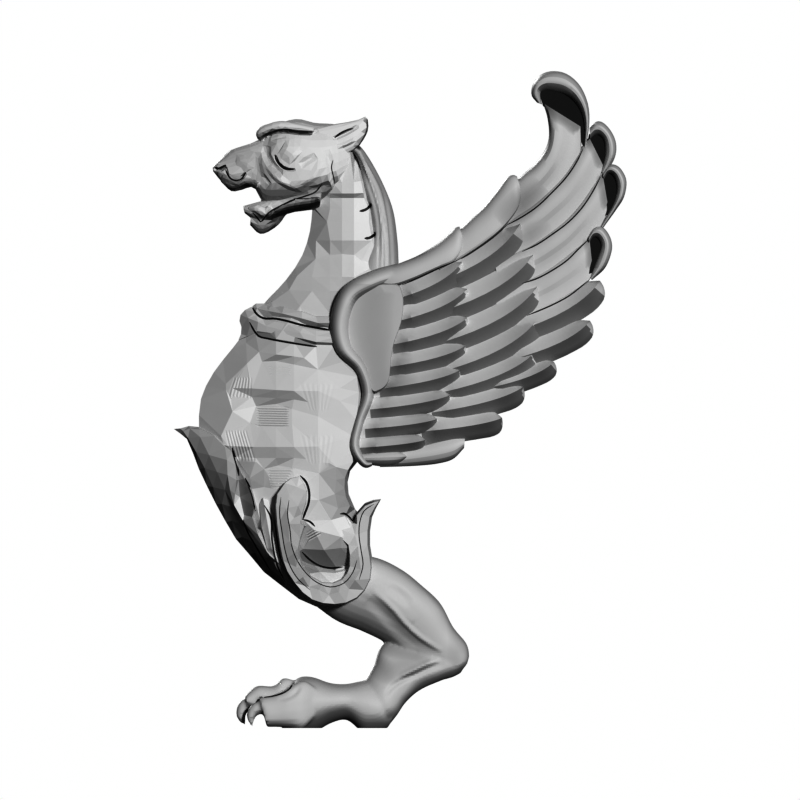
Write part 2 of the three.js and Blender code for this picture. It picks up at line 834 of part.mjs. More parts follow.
const statue = new THREE.Group();
statue.add(mesh);
export default statue;
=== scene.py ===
"""Griffin statue: the carving as one skin, its satin grey finish, a pale floor, soft light and a camera.

Points are in drawing squares: x from the heel towards the back, y away from the near side, z up from the
floor. Sizes in metres are dataclass fields, and squares() turns them into squares.
"""

import logging
from dataclasses import dataclass
from enum import Enum
from typing import Callable, Iterable, Sequence

import bpy
import numpy as np
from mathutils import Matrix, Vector, geometry
from mathutils.bvhtree import BVHTree


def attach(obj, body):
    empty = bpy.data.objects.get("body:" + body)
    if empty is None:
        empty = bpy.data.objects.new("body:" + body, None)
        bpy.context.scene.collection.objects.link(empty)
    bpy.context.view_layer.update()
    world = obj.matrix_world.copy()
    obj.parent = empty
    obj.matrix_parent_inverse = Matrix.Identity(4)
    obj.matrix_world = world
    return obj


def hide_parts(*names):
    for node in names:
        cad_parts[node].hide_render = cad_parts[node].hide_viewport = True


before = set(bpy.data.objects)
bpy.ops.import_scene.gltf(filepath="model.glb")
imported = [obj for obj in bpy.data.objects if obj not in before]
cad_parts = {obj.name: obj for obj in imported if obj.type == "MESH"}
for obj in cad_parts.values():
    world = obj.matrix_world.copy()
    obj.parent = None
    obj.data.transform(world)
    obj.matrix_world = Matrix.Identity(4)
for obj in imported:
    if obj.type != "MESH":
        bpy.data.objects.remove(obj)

HEIGHT = 0.724
SQUARES_HIGH = 658
SQUARE = HEIGHT / SQUARES_HIGH
SIDES = (-1, 1)
FULL_TURN = 2 * np.pi
TINY = 1e-9
WELD = 1e-4
ON_LINE = 0.01
OUTSIDE = 0.5
LOG = logging.getLogger("griffin")

Curve = Callable[[np.ndarray], np.ndarray]
Points = Sequence[Sequence[float]]


def squares(metres: float) -> float:
    """Turns a length in metres into drawing squares."""
    return metres / SQUARE


def smooth(knots: Points) -> Curve:
    """Makes an even curve through knots, held level past both ends.

    Args:
        knots: Rows of a place and one or more values there.

    Returns:
        A function from places to values.
    """
    table = np.array(knots, float)
    at, values = table[:, 0], table[:, 1:]
    slopes = np.gradient(values, at, axis=0)

    def value(places: np.ndarray) -> np.ndarray:
        """Reads the curve.

        Args:
            places: Where to read it.

        Returns:
            The values there.
        """
        x = np.clip(np.asarray(places, float), at[0], at[-1])
        j = np.clip(np.searchsorted(at, x, side="right") - 1, 0, len(at) - 2)
        span = (at[j + 1] - at[j])[..., None]
        t = (x - at[j])[..., None] / span
        low, rise = values[j], values[j + 1] - values[j]
        bend = t * (1 - t) * ((1 - t) * (slopes[j] * span - rise) - t * (slopes[j + 1] * span - rise))
        result = low + t * rise + bend
        return result[..., 0] if values.shape[1] == 1 else result

    return value


def spread(stations: Points, count: int) -> np.ndarray:
    """Spreads sections evenly along stations.

    Args:
        stations: Rows of values.
        count: How many sections there are.

    Returns:
        The values at each section.
    """
    return smooth([(i, *row) for i, row in enumerate(stations)])(np.linspace(0, len(stations) - 1, count))


def path(points: Points) -> Curve:
    """Makes an even line through points, read from 0 at its start to 1 at its end.

    Args:
        points: Rows of coordinates, with any sizes that change along the line.

    Returns:
        A function from shares of the length to points.
    """
    rows = np.array(points, float)
    steps = np.linalg.norm(np.diff(rows[:, :2], axis=0), axis=1)
    along = np.concatenate(([0], np.cumsum(steps))) / steps.sum()
    return smooth(np.column_stack((along, rows)))


def headings(line: np.ndarray) -> np.ndarray:
    """Finds which way a line runs at each of its points."""
    along = np.gradient(line, axis=0)
    return along / np.linalg.norm(along, axis=1)[:, None]


def athwart(along: np.ndarray) -> np.ndarray:
    """Turns flat headings a quarter turn."""
    return np.column_stack((along[:, 1], -along[:, 0]))


def turns(count: int) -> np.ndarray:
    """Spreads angles evenly round a full turn."""
    return np.arange(count) * FULL_TURN / count


def squared(value: np.ndarray, power: float) -> np.ndarray:
    """Bends a circle's coordinate towards a square's; a power of 2 keeps the circle."""
    return np.sign(value) * np.abs(value) ** (2 / power)


def deepened(stations: Points, depth: float) -> list[tuple]:
    """Turns the last value of each station from a share of a depth in metres into squares."""
    return [(*row[:-1], row[-1] * squares(depth)) for row in stations]


class Finish(Enum):
    """How a skin is shaded and painted: soft, hewn flat, painted black as shade, or soft and painted darker
    as shade.
    """

    SOFT = 0
    HEWN = 1
    # Painted shade: faces painted black where shade falls.
    PAINTED_BLACK = 2
    # Painted shade: painted a shade darker all over, and darker still on faces that face down.
    PAINTED_DIMMER = 3


@dataclass
class Shell:
    """A closed skin.

    Attributes:
        points: Its corners, in squares.
        faces: Its faces, as corner numbers.
        finish: How it is left.
    """

    points: np.ndarray
    faces: list[tuple]
    finish: Finish = Finish.SOFT

    @classmethod
    def shown_by(cls, piece: bpy.types.Object, finish: Finish) -> "Shell":
        """Reads the skin that an object shows with its modifiers.

        Args:
            piece: The object.
            finish: How the skin is left.

        Returns:
            The skin.
        """
        mesh = piece.evaluated_get(bpy.context.evaluated_depsgraph_get()).to_mesh()
        points = np.empty(len(mesh.vertices) * 3)
        mesh.vertices.foreach_get("co", points)
        result = cls(points.reshape(-1, 3) / SQUARE, [tuple(p.vertices) for p in mesh.polygons], finish)
        piece.to_mesh_clear()
        return result

    def mirrored(self) -> "Shell":
        """Gives the same skin on the other side of the middle."""
        return Shell(self.points * (1, -1, 1), [tuple(reversed(f)) for f in self.faces], self.finish)

    def closed(self) -> bool:
        """Says whether each edge joins exactly two faces."""
        edges = np.array([(face[i - 1], face[i]) for face in self.faces for i in range(len(face))])
        return bool((np.unique(np.sort(edges, axis=1), axis=0, return_counts=True)[1] == 2).all())

    def to_object(self, name: str) -> bpy.types.Object:
        """Makes a Blender object, in metres.

        Args:
            name: The object's name.

        Returns:
            The new object.
        """
        mesh = bpy.data.meshes.new(name)
        mesh.from_pydata((self.points * SQUARE).tolist(), [], self.faces)
        mesh.validate()
        for kind in Finish:
            mesh.materials.append(bpy.data.materials.get(kind.name) or bpy.data.materials.new(kind.name))
        mesh.polygons.foreach_set("material_index", [self.finish.value] * len(mesh.polygons))
        piece = bpy.data.objects.new(name, mesh)
        bpy.context.scene.collection.objects.link(piece)
        return piece

    def normals(self) -> np.ndarray:
        """Finds the outward direction at each corner.

        Returns:
            A unit direction for each corner.
        """
        total = np.zeros_like(self.points)
        sizes = np.array([len(f) for f in self.faces])
        for size in np.unique(sizes):
            faces = np.array([f for f in self.faces if len(f) == size])
            p = self.points[faces]
            if size == 4:
                normal = np.cross(p[:, 2] - p[:, 0], p[:, -1] - p[:, 1])
            else:
                normal = np.cross(p[:, 1] - p[:, 0], p[:, 2] - p[:, 0])
            for k in range(size):
                np.add.at(total, faces[:, k], normal)
        return total / np.maximum(np.linalg.norm(total, axis=1), TINY)[:, None]


def loft(rings: np.ndarray) -> Shell:
    """Skins a stack of rings and closes both ends.

    Args:
        rings: Corners by ring, all rings with the same count.

    Returns:
        The closed skin.
    """
    rings = np.asarray(rings, float)
    count, sides = rings.shape[:2]
    points = np.vstack((rings.reshape(-1, 3), rings[0].mean(axis=0), rings[-1].mean(axis=0)))
    faces = []
    for ring in range(count - 1):
        for side in range(sides):
            a, b = ring * sides + side, ring * sides + (side + 1) % sides
            faces.append((a, b, b + sides, a + sides))
    for side in range(sides):
        after = (side + 1) % sides
        faces.append((after, side, count * sides))
        faces.append(((count - 1) * sides + side, (count - 1) * sides + after, count * sides + 1))
    return Shell(points, faces)


def limb(stations: Points, rings: int = 24, sides: int = 24, power: float = 2.4, middle: float = 0,
         crest: float = 0) -> Shell:
    """Skins a rounded bar that lies along the middle plane.

    Args:
        stations: Rows of top x, top z, bottom x, bottom z and depth.
        rings: Sections along the bar.
        sides: Corners of a section.
        power: How square a section is.
        middle: The y of its middle.
        crest: Where it is widest, from -1 at its bottom to 1 at its top.

    Returns:
        The closed skin.
    """
    rows, turn = spread(stations, rings), turns(sides)
    up, out = squared(np.cos(turn), power), squared(np.sin(turn), power)
    up = np.clip(up + crest * (1 - up ** 2), -1, 1)
    result = np.empty((rings, sides, 3))
    for axis, high, low in ((0, 0, 2), (2, 1, 3)):
        centre, half = (rows[:, high] + rows[:, low]) / 2, (rows[:, high] - rows[:, low]) / 2
        result[:, :, axis] = centre[:, None] + half[:, None] * up
    result[:, :, 1] = middle + rows[:, 4][:, None] / 2 * out
    return loft(result)


def roll(stations: Points, rings: int = 24, sides: int = 14) -> Shell:
    """Skins a round bar along a line.

    Args:
        stations: Rows of x, y, z and radius.
        rings: Sections along the bar.
        sides: Corners of a section.

    Returns:
        The closed skin.
    """
    rows, turn = spread(stations, rings), turns(sides)
    along = headings(rows[:, :3])
    across = np.cross(along, (0, 1, 0))
    across /= np.linalg.norm(across, axis=1)[:, None]
    over = np.cross(across, along)
    rim = across[:, None] * np.cos(turn)[:, None] + over[:, None] * np.sin(turn)[:, None]
    return loft(rows[:, None, :3] + rim * rows[:, None, 3:4])


def triangles_in(outline: Points, inside: Points, edges: Iterable[tuple]) -> tuple[np.ndarray, list[tuple]]:
    """Fills an outline with triangles through points.

    Args:
        outline: Corners round the edge, rows of x and z.
        inside: Points within it.
        edges: Pairs of point numbers that triangles must keep to.

    Returns:
        The points and the triangles.
    """
    flat = [Vector(p[:2]) for p in outline] + [Vector(p[:2]) for p in inside]
    found = geometry.delaunay_2d_cdt(flat, list(edges), [list(range(len(outline)))], 1, WELD)
    return np.array([tuple(v) for v in found[0]]), [tuple(f) for f in found[2]]


def block(near: np.ndarray, faces: list[tuple], rim: int) -> Shell:
    """Makes a solid that is the same on both sides of the middle from its near surface.

    Args:
        near: Corners of the near surface, rows of x, z and depth, the rim's first.
        faces: Its triangles.
        rim: How many corners the rim has; not used.

    Returns:
        The closed skin.
    """
    count = len(near)
    points = np.vstack([np.column_stack((near[:, 0], side * near[:, 2], near[:, 1])) for side in SIDES])
    first = Vector((*near[faces[0][1]][:2], 0)) - Vector((*near[faces[0][0]][:2], 0))
    second = Vector((*near[faces[0][2]][:2], 0)) - Vector((*near[faces[0][0]][:2], 0))
    turned = first.cross(second).z < 0
    skin = []
    for face in faces:
        front = tuple(reversed(face)) if turned else face
        skin.append(front)
        skin.append(tuple(count + i for i in reversed(front)))
    edges = {(f[i], f[(i + 1) % 3]) for f in skin[::2] for i in range(3)}
    for a, b in edges:
        if (b, a) not in edges:
            skin.append((b, a, a + count, b + count))
    return Shell(points, skin, Finish.HEWN)


def from_line(spots: np.ndarray, line: np.ndarray) -> tuple[np.ndarray, np.ndarray, np.ndarray]:
    """Measures spots against a line.

    Args:
        spots: Rows of x and z.
        line: The line's points, in order.

    Returns:
        The distance of each spot, the share of the line's length nearest to it, and the side it is on.
    """
    start, step = line[:-1], np.diff(line, axis=0)
    length = np.maximum((step ** 2).sum(axis=1), TINY)
    offset = spots[:, None] - start
    share = np.clip((offset * step).sum(axis=2) / length, 0, 1)
    apart = offset - share[..., None] * step
    away = np.linalg.norm(apart, axis=2)
    best = away.argmin(axis=1)
    row = np.arange(len(spots))
    side = np.sign(step[best, 0] * apart[row, best, 1] - step[best, 1] * apart[row, best, 0])
    return away[row, best], (best + share[row, best]) / len(step), side


class Cut(Enum):
    """How a stroke shapes the surface across its line."""

    ROUND = "round"
    STEP = "step"


@dataclass(frozen=True)
class Stroke:
    """A chisel stroke drawn on the side of the carving, which can also paint shade dark along its line.

    Attributes:
        line: Points of x and z that it follows.
        width: Its half-width, in squares.
        rise: How far it lifts the surface; below 0 it cuts in.
        cut: Its shape across.
        ends: The share of its length that fades out at each end.
        dark: How much shade it paints dark along its line.
    """

    line: Points
    width: float
    rise: float
    cut: Cut = Cut.ROUND
    ends: float = 0.25
    dark: float = 0

    def weight(self, spots: np.ndarray) -> np.ndarray:
        """Measures how strongly the stroke acts.

        Args:
            spots: Rows of x and z.

        Returns:
            Its strength at each spot, from 0 to 1.
        """
        rows = path(self.line)(np.linspace(0, 1, 6 * len(self.line)))
        low, high = rows.min(axis=0) - self.width, rows.max(axis=0) + self.width
        near = ((spots > low) & (spots < high)).all(axis=1)
        result = np.zeros(len(spots))
        if near.any():
            away, share, side = from_line(spots[near], rows)
            across = np.clip(1 - (away / self.width) ** 2, 0, 1) ** 2
            if self.cut is Cut.STEP:
                across = np.where(side > 0, np.clip(1 - away / self.width, 0, 1), 0)
            fade = np.clip(np.minimum(share, 1 - share) / self.ends, 0, 1)
            result[near] = across * np.sqrt(fade)
        return result


def painted_shade(dark: float, width: float, ends: float, *line: Sequence[float]) -> Stroke:
    """Paints shade dark along a line of points and leaves the surface as it is."""
    return Stroke(line, width, 0, ends=ends, dark=dark)


@dataclass(frozen=True)
class Groove:
    """A narrow cut whose faces are painted black as shade.

    Attributes:
        line: Points of x and z that it follows.
        width: Its width, in squares.
        deep: Its depth, in squares.
        clear: How far its blade stands out of the surface, in squares.
        taper: The points over which it narrows at each end.
        tip: The share of its width that its ends keep.
    """

    line: Points
    width: float = 1.6
    deep: float = 1.3
    clear: float = 9
    taper: float = 2.5
    tip: float = 0.3

    def blades(self, skin: BVHTree) -> list[Shell]:
        """Shapes the solids that cut it, one on each side.

        Args:
            skin: The surface it is cut in, in metres.

        Returns:
            Their closed skins.
        """
        count = 3 * len(self.line)
        rows = path(self.line)(np.linspace(0, 1, count))
        across = athwart(headings(rows))
        from_end = np.minimum(np.arange(count), np.arange(count)[::-1])
        half = np.clip(from_end / self.taper + self.tip, 0, 1) * self.width / 2
        rings = []
        for i in range(count):
            start = Vector((rows[i, 0] * SQUARE, -OUTSIDE, rows[i, 1] * SQUARE))
            met = skin.ray_cast(start, Vector((0, 1, 0)))[0]
            if met is None or met.y > 0:
                continue
            low, high = -met.y / SQUARE - self.deep, -met.y / SQUARE + self.clear
            left, right = rows[i] - across[i] * half[i], rows[i] + across[i] * half[i]
            corners = ((left, low), (left, high), (right, high), (right, low))
            rings.append([(x, -y, z) for (x, z), y in corners])
        if len(rings) < 3:
            return []
        shell = loft(np.array(rings))
        # Painted shade: the faces this blade leaves in the carving are painted black.
        shell.finish = Finish.PAINTED_BLACK
        return [shell, shell.mirrored()]


def chiselled(shell: Shell, strokes: Sequence[Stroke], facing: float = 0.35) -> Shell:
    """Shapes a skin with strokes on both of its sides.

    Args:
        shell: The skin.
        strokes: The strokes.
        facing: How far a surface must face sideways to take a full stroke.

    Returns:
        The shaped skin.
    """
    normals = shell.normals()
    spots = shell.points[:, (0, 2)]
    move = sum(stroke.rise * stroke.weight(spots) for stroke in strokes)
    move = move * np.clip(np.abs(normals[:, 1]) / facing, 0, 1)
    return Shell(shell.points + normals * move[:, None], shell.faces, shell.finish)


def fused(shells: Sequence[Shell], grain: float, rounds: int) -> Shell:
    """Melts overlapping skins into one and softens it.

    Args:
        shells: The skins.
        grain: The finest form kept, in squares.
        rounds: How often it is softened.

    Returns:
        The one skin.
    """
    offset, faces = 0, []
    for shell in shells:
        faces += [tuple(i + offset for i in f) for f in shell.faces]
        offset += len(shell.points)
    raw = Shell(np.vstack([s.points for s in shells]), faces).to_object("clay")
    remesh = raw.modifiers.new("melt", "REMESH")
    remesh.mode = "VOXEL"
    remesh.voxel_size = grain * SQUARE
    remesh.use_smooth_shade = True
    soften = raw.modifiers.new("soften", "SMOOTH")
    soften.factor = 0.5
    soften.iterations = rounds
    result = Shell.shown_by(raw, Finish.SOFT)
    bpy.data.objects.remove(raw)
    return result


def hewn(shell: Shell, faces: int) -> Shell:
    """Cuts a soft skin into broad flat facets.

    Args:
        shell: The skin.
        faces: About how many facets are left; a few more where the cut skin would not close.

    Returns:
        The faceted skin.
    """
    raw = shell.to_object("block")
    cut = raw.modifiers.new("cut", "DECIMATE")
    result = shell
    for count in range(faces, 2 * faces, faces // 20):
        cut.ratio = count / sum(len(f) - 2 for f in shell.faces)
        result = Shell.shown_by(raw, Finish.HEWN)
        if result.closed():
            break
    bpy.data.objects.remove(raw)
    return result


@dataclass(frozen=True)
class Tooling:
    """A patch of fine straight cuts that fans out between two lines.

    Attributes:
        first: The two ends of its first cut.
        last: The two ends of its last cut.
        count: How many cuts and ridges it has.
        deep: How far they lie in and out of the facet, in squares.
        run_out: The share of a cut's length over which it runs out past each end.
    """

    first: Points
    last: Points
    count: int
    deep: float = 0.34
    run_out: float = 0.12

    def lines(self) -> list[list[tuple]]:
        """Lays out the cuts.

        Returns:
            For each cut, four points along it, with how far each lies out of the facet.
        """
        corners = np.array((*self.first, *self.last))
        places = ((-self.run_out, 0), (0, 1), (1, 1), (1 + self.run_out, 0))
        result = []
        for line in range(-1, self.count + 1):
            start, stop = corners[:2] + (corners[2:] - corners[:2]) * line / (self.count - 1)
            out = 0 if line in (-1, self.count) else self.deep * (1 if line % 2 else -1)
            result.append([(*(start + (stop - start) * along), out * cut) for along, cut in places])
        return result


def faceted(outline: Points, rows: Sequence[Points], edge: float, tooling: Sequence[Tooling] = ()) -> Shell:
    """Cuts a solid in flat facets, the same on both sides of the middle.

    Args:
        outline: Corners round its edge, rows of x and z.
        rows: Lines that facets meet along, as rows of x, z and depth.
        edge: The depth at the outline.
        tooling: Patches of fine cuts in the facets.

    Returns:
        The closed skin.
    """
    inside = np.array(list({point[:2]: point for row in rows for point in row}.values()))
    rim = len(outline)
    places = {tuple(point[:2]): rim + i for i, point in enumerate(inside)}
    ridges = [(places[a[:2]], places[b[:2]]) for row in rows for a, b in zip(row, row[1:])]
    flat = np.vstack((np.array(outline), inside[:, :2]))
    depth = np.concatenate((np.full(rim, edge), inside[:, 2]))
    spots, faces = triangles_in(outline, inside, ridges)
    known = [int(np.abs(flat - spot).sum(axis=1).argmin()) for spot in spots]
    coarse = np.column_stack((spots, depth[known]))[np.array(faces)]
    base, side, other = coarse[:, 0], coarse[:, 1] - coarse[:, 0], coarse[:, 2] - coarse[:, 0]
    whole = side[:, 0] * other[:, 1] - side[:, 1] * other[:, 0]
    lines = np.array([line for patch in tooling for line in patch.lines()]).reshape(-1, 4, 3)
    ends = lines.reshape(-1, 3)
    keep = {tuple(sorted((known[f[i]], known[f[(i + 1) % 3]]))) for f in faces for i in range(3)}
    cuts = [(len(flat) + 4 * i + k, len(flat) + 4 * i + k + 1) for i in range(len(lines)) for k in range(3)]
    fine, skin = triangles_in(outline, [*inside[:, :2], *ends[:, :2]], [*keep, *cuts])
    result = []
    for x, z in fine:
        across, up = x - base[:, 0], z - base[:, 1]
        u = (across * other[:, 1] - up * other[:, 0]) / whole
        v = (side[:, 0] * up - side[:, 1] * across) / whole
        face = np.minimum(np.minimum(u, v), 1 - u - v).argmax()
        out = base[face, 2] + u[face] * side[face, 2] + v[face] * other[face, 2]
        for line in lines:
            away, share, _ = from_line(np.array([(x, z)]), line[:, :2])
            if away[0] < ON_LINE:
                out += float(np.interp(share[0] * 3, range(4), line[:, 2]))
        result.append((x, z, out))
    return block(np.array(result), skin, rim)


class Change(Enum):
    """What tools do to a piece."""

    ADD = "UNION"
    CUT_AWAY = "DIFFERENCE"


def changed(piece: bpy.types.Object, tools: Sequence[bpy.types.Object], change: Change) -> None:
    """Joins tools to a piece or cuts them out of it, and clears them away.

    Args:
        piece: The piece.
        tools: Closed objects that overlap it.
        change: What they do to it.
    """
    group = bpy.data.collections.new("tools")
    for tool in tools:
        group.objects.link(tool)
    step = piece.modifiers.new("step", "BOOLEAN")
    step.operation = change.value
    step.operand_type = "COLLECTION"
    step.collection = group
    step.solver = "MANIFOLD"
    mesh = bpy.data.meshes.new_from_object(piece.evaluated_get(bpy.context.evaluated_depsgraph_get()))
    piece.modifiers.clear()
    piece.data = mesh
    for tool in tools:
        bpy.data.objects.remove(tool)
    bpy.data.collections.remove(group)


@dataclass
class Trunk:
    """The hewn neck and breast, cut in broad flat facets with patches of fine tooling.

    Attributes:
        edge: The depth of the ridge down the front, in squares.
        front: The outline down the front.
        back: The outline up the back.
        neck: The lines that the neck's facets meet along.
        breast: The lines that the breast's facets meet along.
        tooling: The patches of fine cuts.
    """

    edge: float = 0.5
    front: Points = (
        (-52, 578), (-58, 543), (-61.5, 520), (-62.5, 508), (-64, 497), (-67, 485), (-71.5, 473), (-79, 460),
        (-88, 448), (-96, 439), (-104, 431), (-112, 422), (-120, 410), (-128, 398), (-135, 388), (-142, 379),
        (-151, 368), (-160, 356), (-168, 342), (-173, 329), (-175, 313), (-175, 298), (-171, 278),
        (-163, 248), (-148, 213), (-131, 188), (-112, 166), (-84, 140),
    )
    back: Points = (
        (-29, 140), (-12, 156), (-6, 180), (-7, 204), (-19, 219), (-25.4, 234), (-26.4, 246), (-24, 257),
        (-16, 267), (-5, 298), (6, 328), (16, 398), (18, 448), (14, 493), (8, 523), (-2, 548), (-19, 576),
    )
    neck: tuple = (
        ((-42, 567, 22), (-24, 576, 22)),
        ((-41, 545, 20), (-32, 545, 24), (-20, 546, 27), (-13, 547, 25.5)),
        ((-52, 535, 12), (-44, 534.5, 19), (-32, 534.5, 25), (-20, 534.5, 28), (-10.5, 535, 26.5)),
        ((-55, 529, 8), (-44, 530, 17), (-32, 530, 22.5), (-20, 530, 25.5), (-10, 530, 24.5)),
        ((-61, 522, 3), (-44, 519, 18), (-32, 519, 24), (-20, 519, 27), (-5, 519, 25)),
        ((-47, 506, 19), (-32, 506, 26.5), (-20, 506, 29.5), (-5, 506, 27)),
        ((-58, 487.5, 11), (-44, 487.5, 25), (-32, 487.5, 31), (-20, 487.5, 34), (-2, 487.5, 31)),
        ((-58.5, 469, 14.5), (-44, 473, 20.5), (-32, 474, 26), (-20, 473, 29), (-12, 467, 29), (6, 465, 26)),
        ((-77, 452, 10), (-62, 451, 19), (-44, 451, 27.5), (-32, 451, 33), (-20, 451, 36), (12, 448, 38)),
        ((-85, 438, 12), (-62, 437, 26), (-44, 437, 36), (-32, 437, 41), (-20, 437, 44), (6, 428, 46)),
        ((-109, 422, 4), (-102, 426, 9), (-74, 422, 32), (-44, 414, 46), (-2, 408, 50)),
        ((-61, 522, 3), (-47, 506, 19), (-58, 487.5, 11), (-58.5, 469, 14.5), (-77, 452, 10), (-85, 438, 12),
         (-102, 426, 9)),
    )
    breast: tuple = (
        ((-118, 392, 16), (-98, 389, 34), (-80, 386, 43), (-58, 382, 49), (-39, 384, 53), (-2, 383, 54)),
        ((-118, 392, 16), (-115, 376, 27), (-98, 373.5, 41), (-80, 371.5, 47.5), (-70, 370, 50),
         (-56, 358.5, 51), (-32, 366, 55)),
        ((-127, 364.5, 27), (-112, 366.5, 31), (-98, 367, 37.2), (-80, 363.5, 44.5), (-56, 358.5, 51),
         (-17, 351, 57)),
        ((-148.2, 344, 19.5), (-142, 340, 25), (-122, 339.5, 35.5), (-98, 338, 46), (-80, 337, 52),
         (-56, 337, 55.5), (-34, 340, 57), (-17, 351, 57)),
        ((-148, 338, 21.5), (-143, 329, 25), (-122, 331, 31.5), (-98, 330, 41.8), (-80, 328.5, 47.8),
         (-66, 326, 51)),
        ((-141.6, 316.5, 30), (-118, 322, 29.5), (-98, 324, 38.5), (-82, 319, 45.5), (-56, 311.5, 52),
         (-34, 327, 56.5), (-15, 336, 58)),
        ((-141.6, 316.5, 30), (-124, 305, 30), (-112, 301.5, 35.5), (-98, 300, 41.5), (-82, 304, 47),
         (-56, 311.5, 52), (-21, 292, 57)),
        ((-153, 292, 23), (-146, 282, 26), (-120, 281, 35.5), (-98, 281, 45.5), (-80, 281, 51.5),
         (-56, 281.5, 55.5), (-21, 292, 57)),
        ((-150, 283, 24), (-138, 271, 23), (-118, 270, 32), (-98, 270, 41), (-80, 270, 47.3), (-68, 269, 50)),
        ((-124, 250, 30), (-110, 259, 32.5), (-96, 262.5, 38), (-82, 260, 44), (-55, 254.5, 51.5),
         (-38, 261, 54.5), (-21, 266, 54)),
        ((-124, 250, 30), (-122, 239, 31), (-110, 241, 36), (-96, 239, 42.5), (-76, 239, 50),
         (-55, 254.5, 51.5), (-38, 248, 53), (-29, 250, 51.5)),
        ((-17, 351, 57), (-15, 336, 58), (-16, 322, 58), (-18, 308, 58), (-21, 292, 57), (-22, 278, 56),
         (-21, 266, 54), (-26, 258, 52.5), (-29, 250, 51.5), (-29.5, 240, 49), (-28, 231, 46),
         (-24, 222, 42)),
        ((-38, 261, 54.5), (-38, 248, 53), (-39, 234, 52), (-36, 220, 49), (-29, 212, 46)),
        ((-55, 254.5, 51.5), (-39, 234, 52)),
        ((-55, 254.5, 51.5), (-55, 228, 54), (-43, 208, 50), (-36, 220, 49)),
        ((-55, 228, 54), (-71, 228, 52), (-89, 208, 42)),
        ((-69, 207, 47), (-43, 208, 50), (-33, 191, 49.5), (-50, 178, 43), (-60, 198, 50), (-43, 208, 50),
         (-22, 198, 46), (-13, 198, 42)),
        ((-71, 179, 34), (-50, 178, 43), (-33, 180, 44), (-13, 180, 40)),
        ((-50, 178, 43), (-38, 161, 30), (-18, 164, 30)),
        ((-71, 179, 34), (-54, 162, 22)),
        ((-114, 208, 32), (-89, 168, 22), (-54, 148, 10)),
        ((-128, 385, 9), (-127, 364.5, 27), (-148.2, 344, 19.5), (-148, 338, 21.5), (-141.6, 316.5, 30),
         (-153, 292, 23), (-150, 283, 24), (-138, 271, 23), (-124, 250, 30)),
    )
    tooling: tuple = (
        Tooling(((-139.5, 349), (-145, 333)), ((-123, 349), (-124, 331)), 13, 0.26),
        Tooling(((-115, 321), (-88, 320.5)), ((-114, 302), (-88, 301.5)), 17),
        Tooling(((-148, 295), (-142, 270)), ((-128, 295), (-120, 269)), 15, 0.26),
        Tooling(((-104, 259), (-83, 259)), ((-102, 241), (-91, 241)), 15),
        Tooling(((-67, 195), (-61, 199)), ((-65, 188), (-54, 194)), 7, 0.28),
        Tooling(((-73, 343), (-65, 320)), ((-41, 342), (-47, 319)), 13, 0.07),
        Tooling(((-72, 291), (-66, 267)), ((-41, 290), (-46, 265)), 13, 0.08),
        Tooling(((-104, 363), (-85, 362)), ((-102, 353), (-85, 353)), 9, 0.14),
    )

    def build(self) -> Shell:
        """Cuts the facets and the tooling in them."""
        return faceted([*self.front, *self.back], [*self.neck, *self.breast], self.edge, self.tooling)


@dataclass
class Collar:
    """The rolled band of cloth round the foot of the neck.

    Attributes:
        edge: The depth of its front, in squares.
        outline: Its outline.
        rows: The crests and valleys of its folds.
    """

    edge: float = 0.8
    outline: Points = (
        (-108, 424.5), (-118, 424.5), (-122, 421.5), (-129, 418), (-133.5, 413), (-134.5, 407), (-132.5, 401),
        (-133, 394), (-135.5, 388), (-126, 385), (-112, 381), (-74, 375), (-29, 374), (10, 378), (14, 406),
        (10, 428), (-44, 429),
    )
    rows: tuple = (
        ((-102, 423.5, 8), (-90, 421, 22), (-72, 416, 36.5), (-58, 411, 43), (-41, 412, 48), (-2, 410, 51)),
        ((-117, 419.5, 9), (-106, 417, 17), (-92, 414.5, 28), (-72, 409.5, 41.5), (-56, 405, 49),
         (-41, 405, 52.5), (2, 402, 56)),
        ((-118.5, 416, 8), (-110, 411, 11), (-99, 409.3, 18.5), (-87, 407, 27), (-72, 403.5, 37),
         (-58, 401, 44.5), (-41, 399.5, 49)),
        ((-117.5, 412.5, 10), (-111, 408.3, 15), (-99, 406.5, 24.5), (-86, 403.8, 33.5), (-71, 400, 43),
         (-58, 397.7, 49.5), (-40, 396.5, 54)),
        ((-126, 410, 8), (-116, 406, 15), (-108, 402, 21.5), (-92, 398, 33), (-74, 395.5, 45),
         (-58, 392, 51.5), (-38, 391, 56.5), (2, 390, 58)),
        ((-124, 403, 9), (-117, 397, 15.5), (-107, 395.5, 23), (-92, 393, 34), (-70, 389, 47), (-58, 386, 52),
         (-37, 385, 56.5)),
        ((-127, 392, 7), (-117, 391.5, 12), (-106, 389, 17), (-92, 386, 27), (-71, 382, 39), (-56, 379, 44),
         (-29, 378, 48)),
        ((-117, 419.5, 9), (-118.5, 416, 8), (-117.5, 412.5, 10), (-126, 410, 8), (-124, 403, 9),
         (-127, 392, 7)),
    )

    def build(self) -> Shell:
        """Cuts the folds of the band."""
        return faceted(self.outline, self.rows, self.edge)


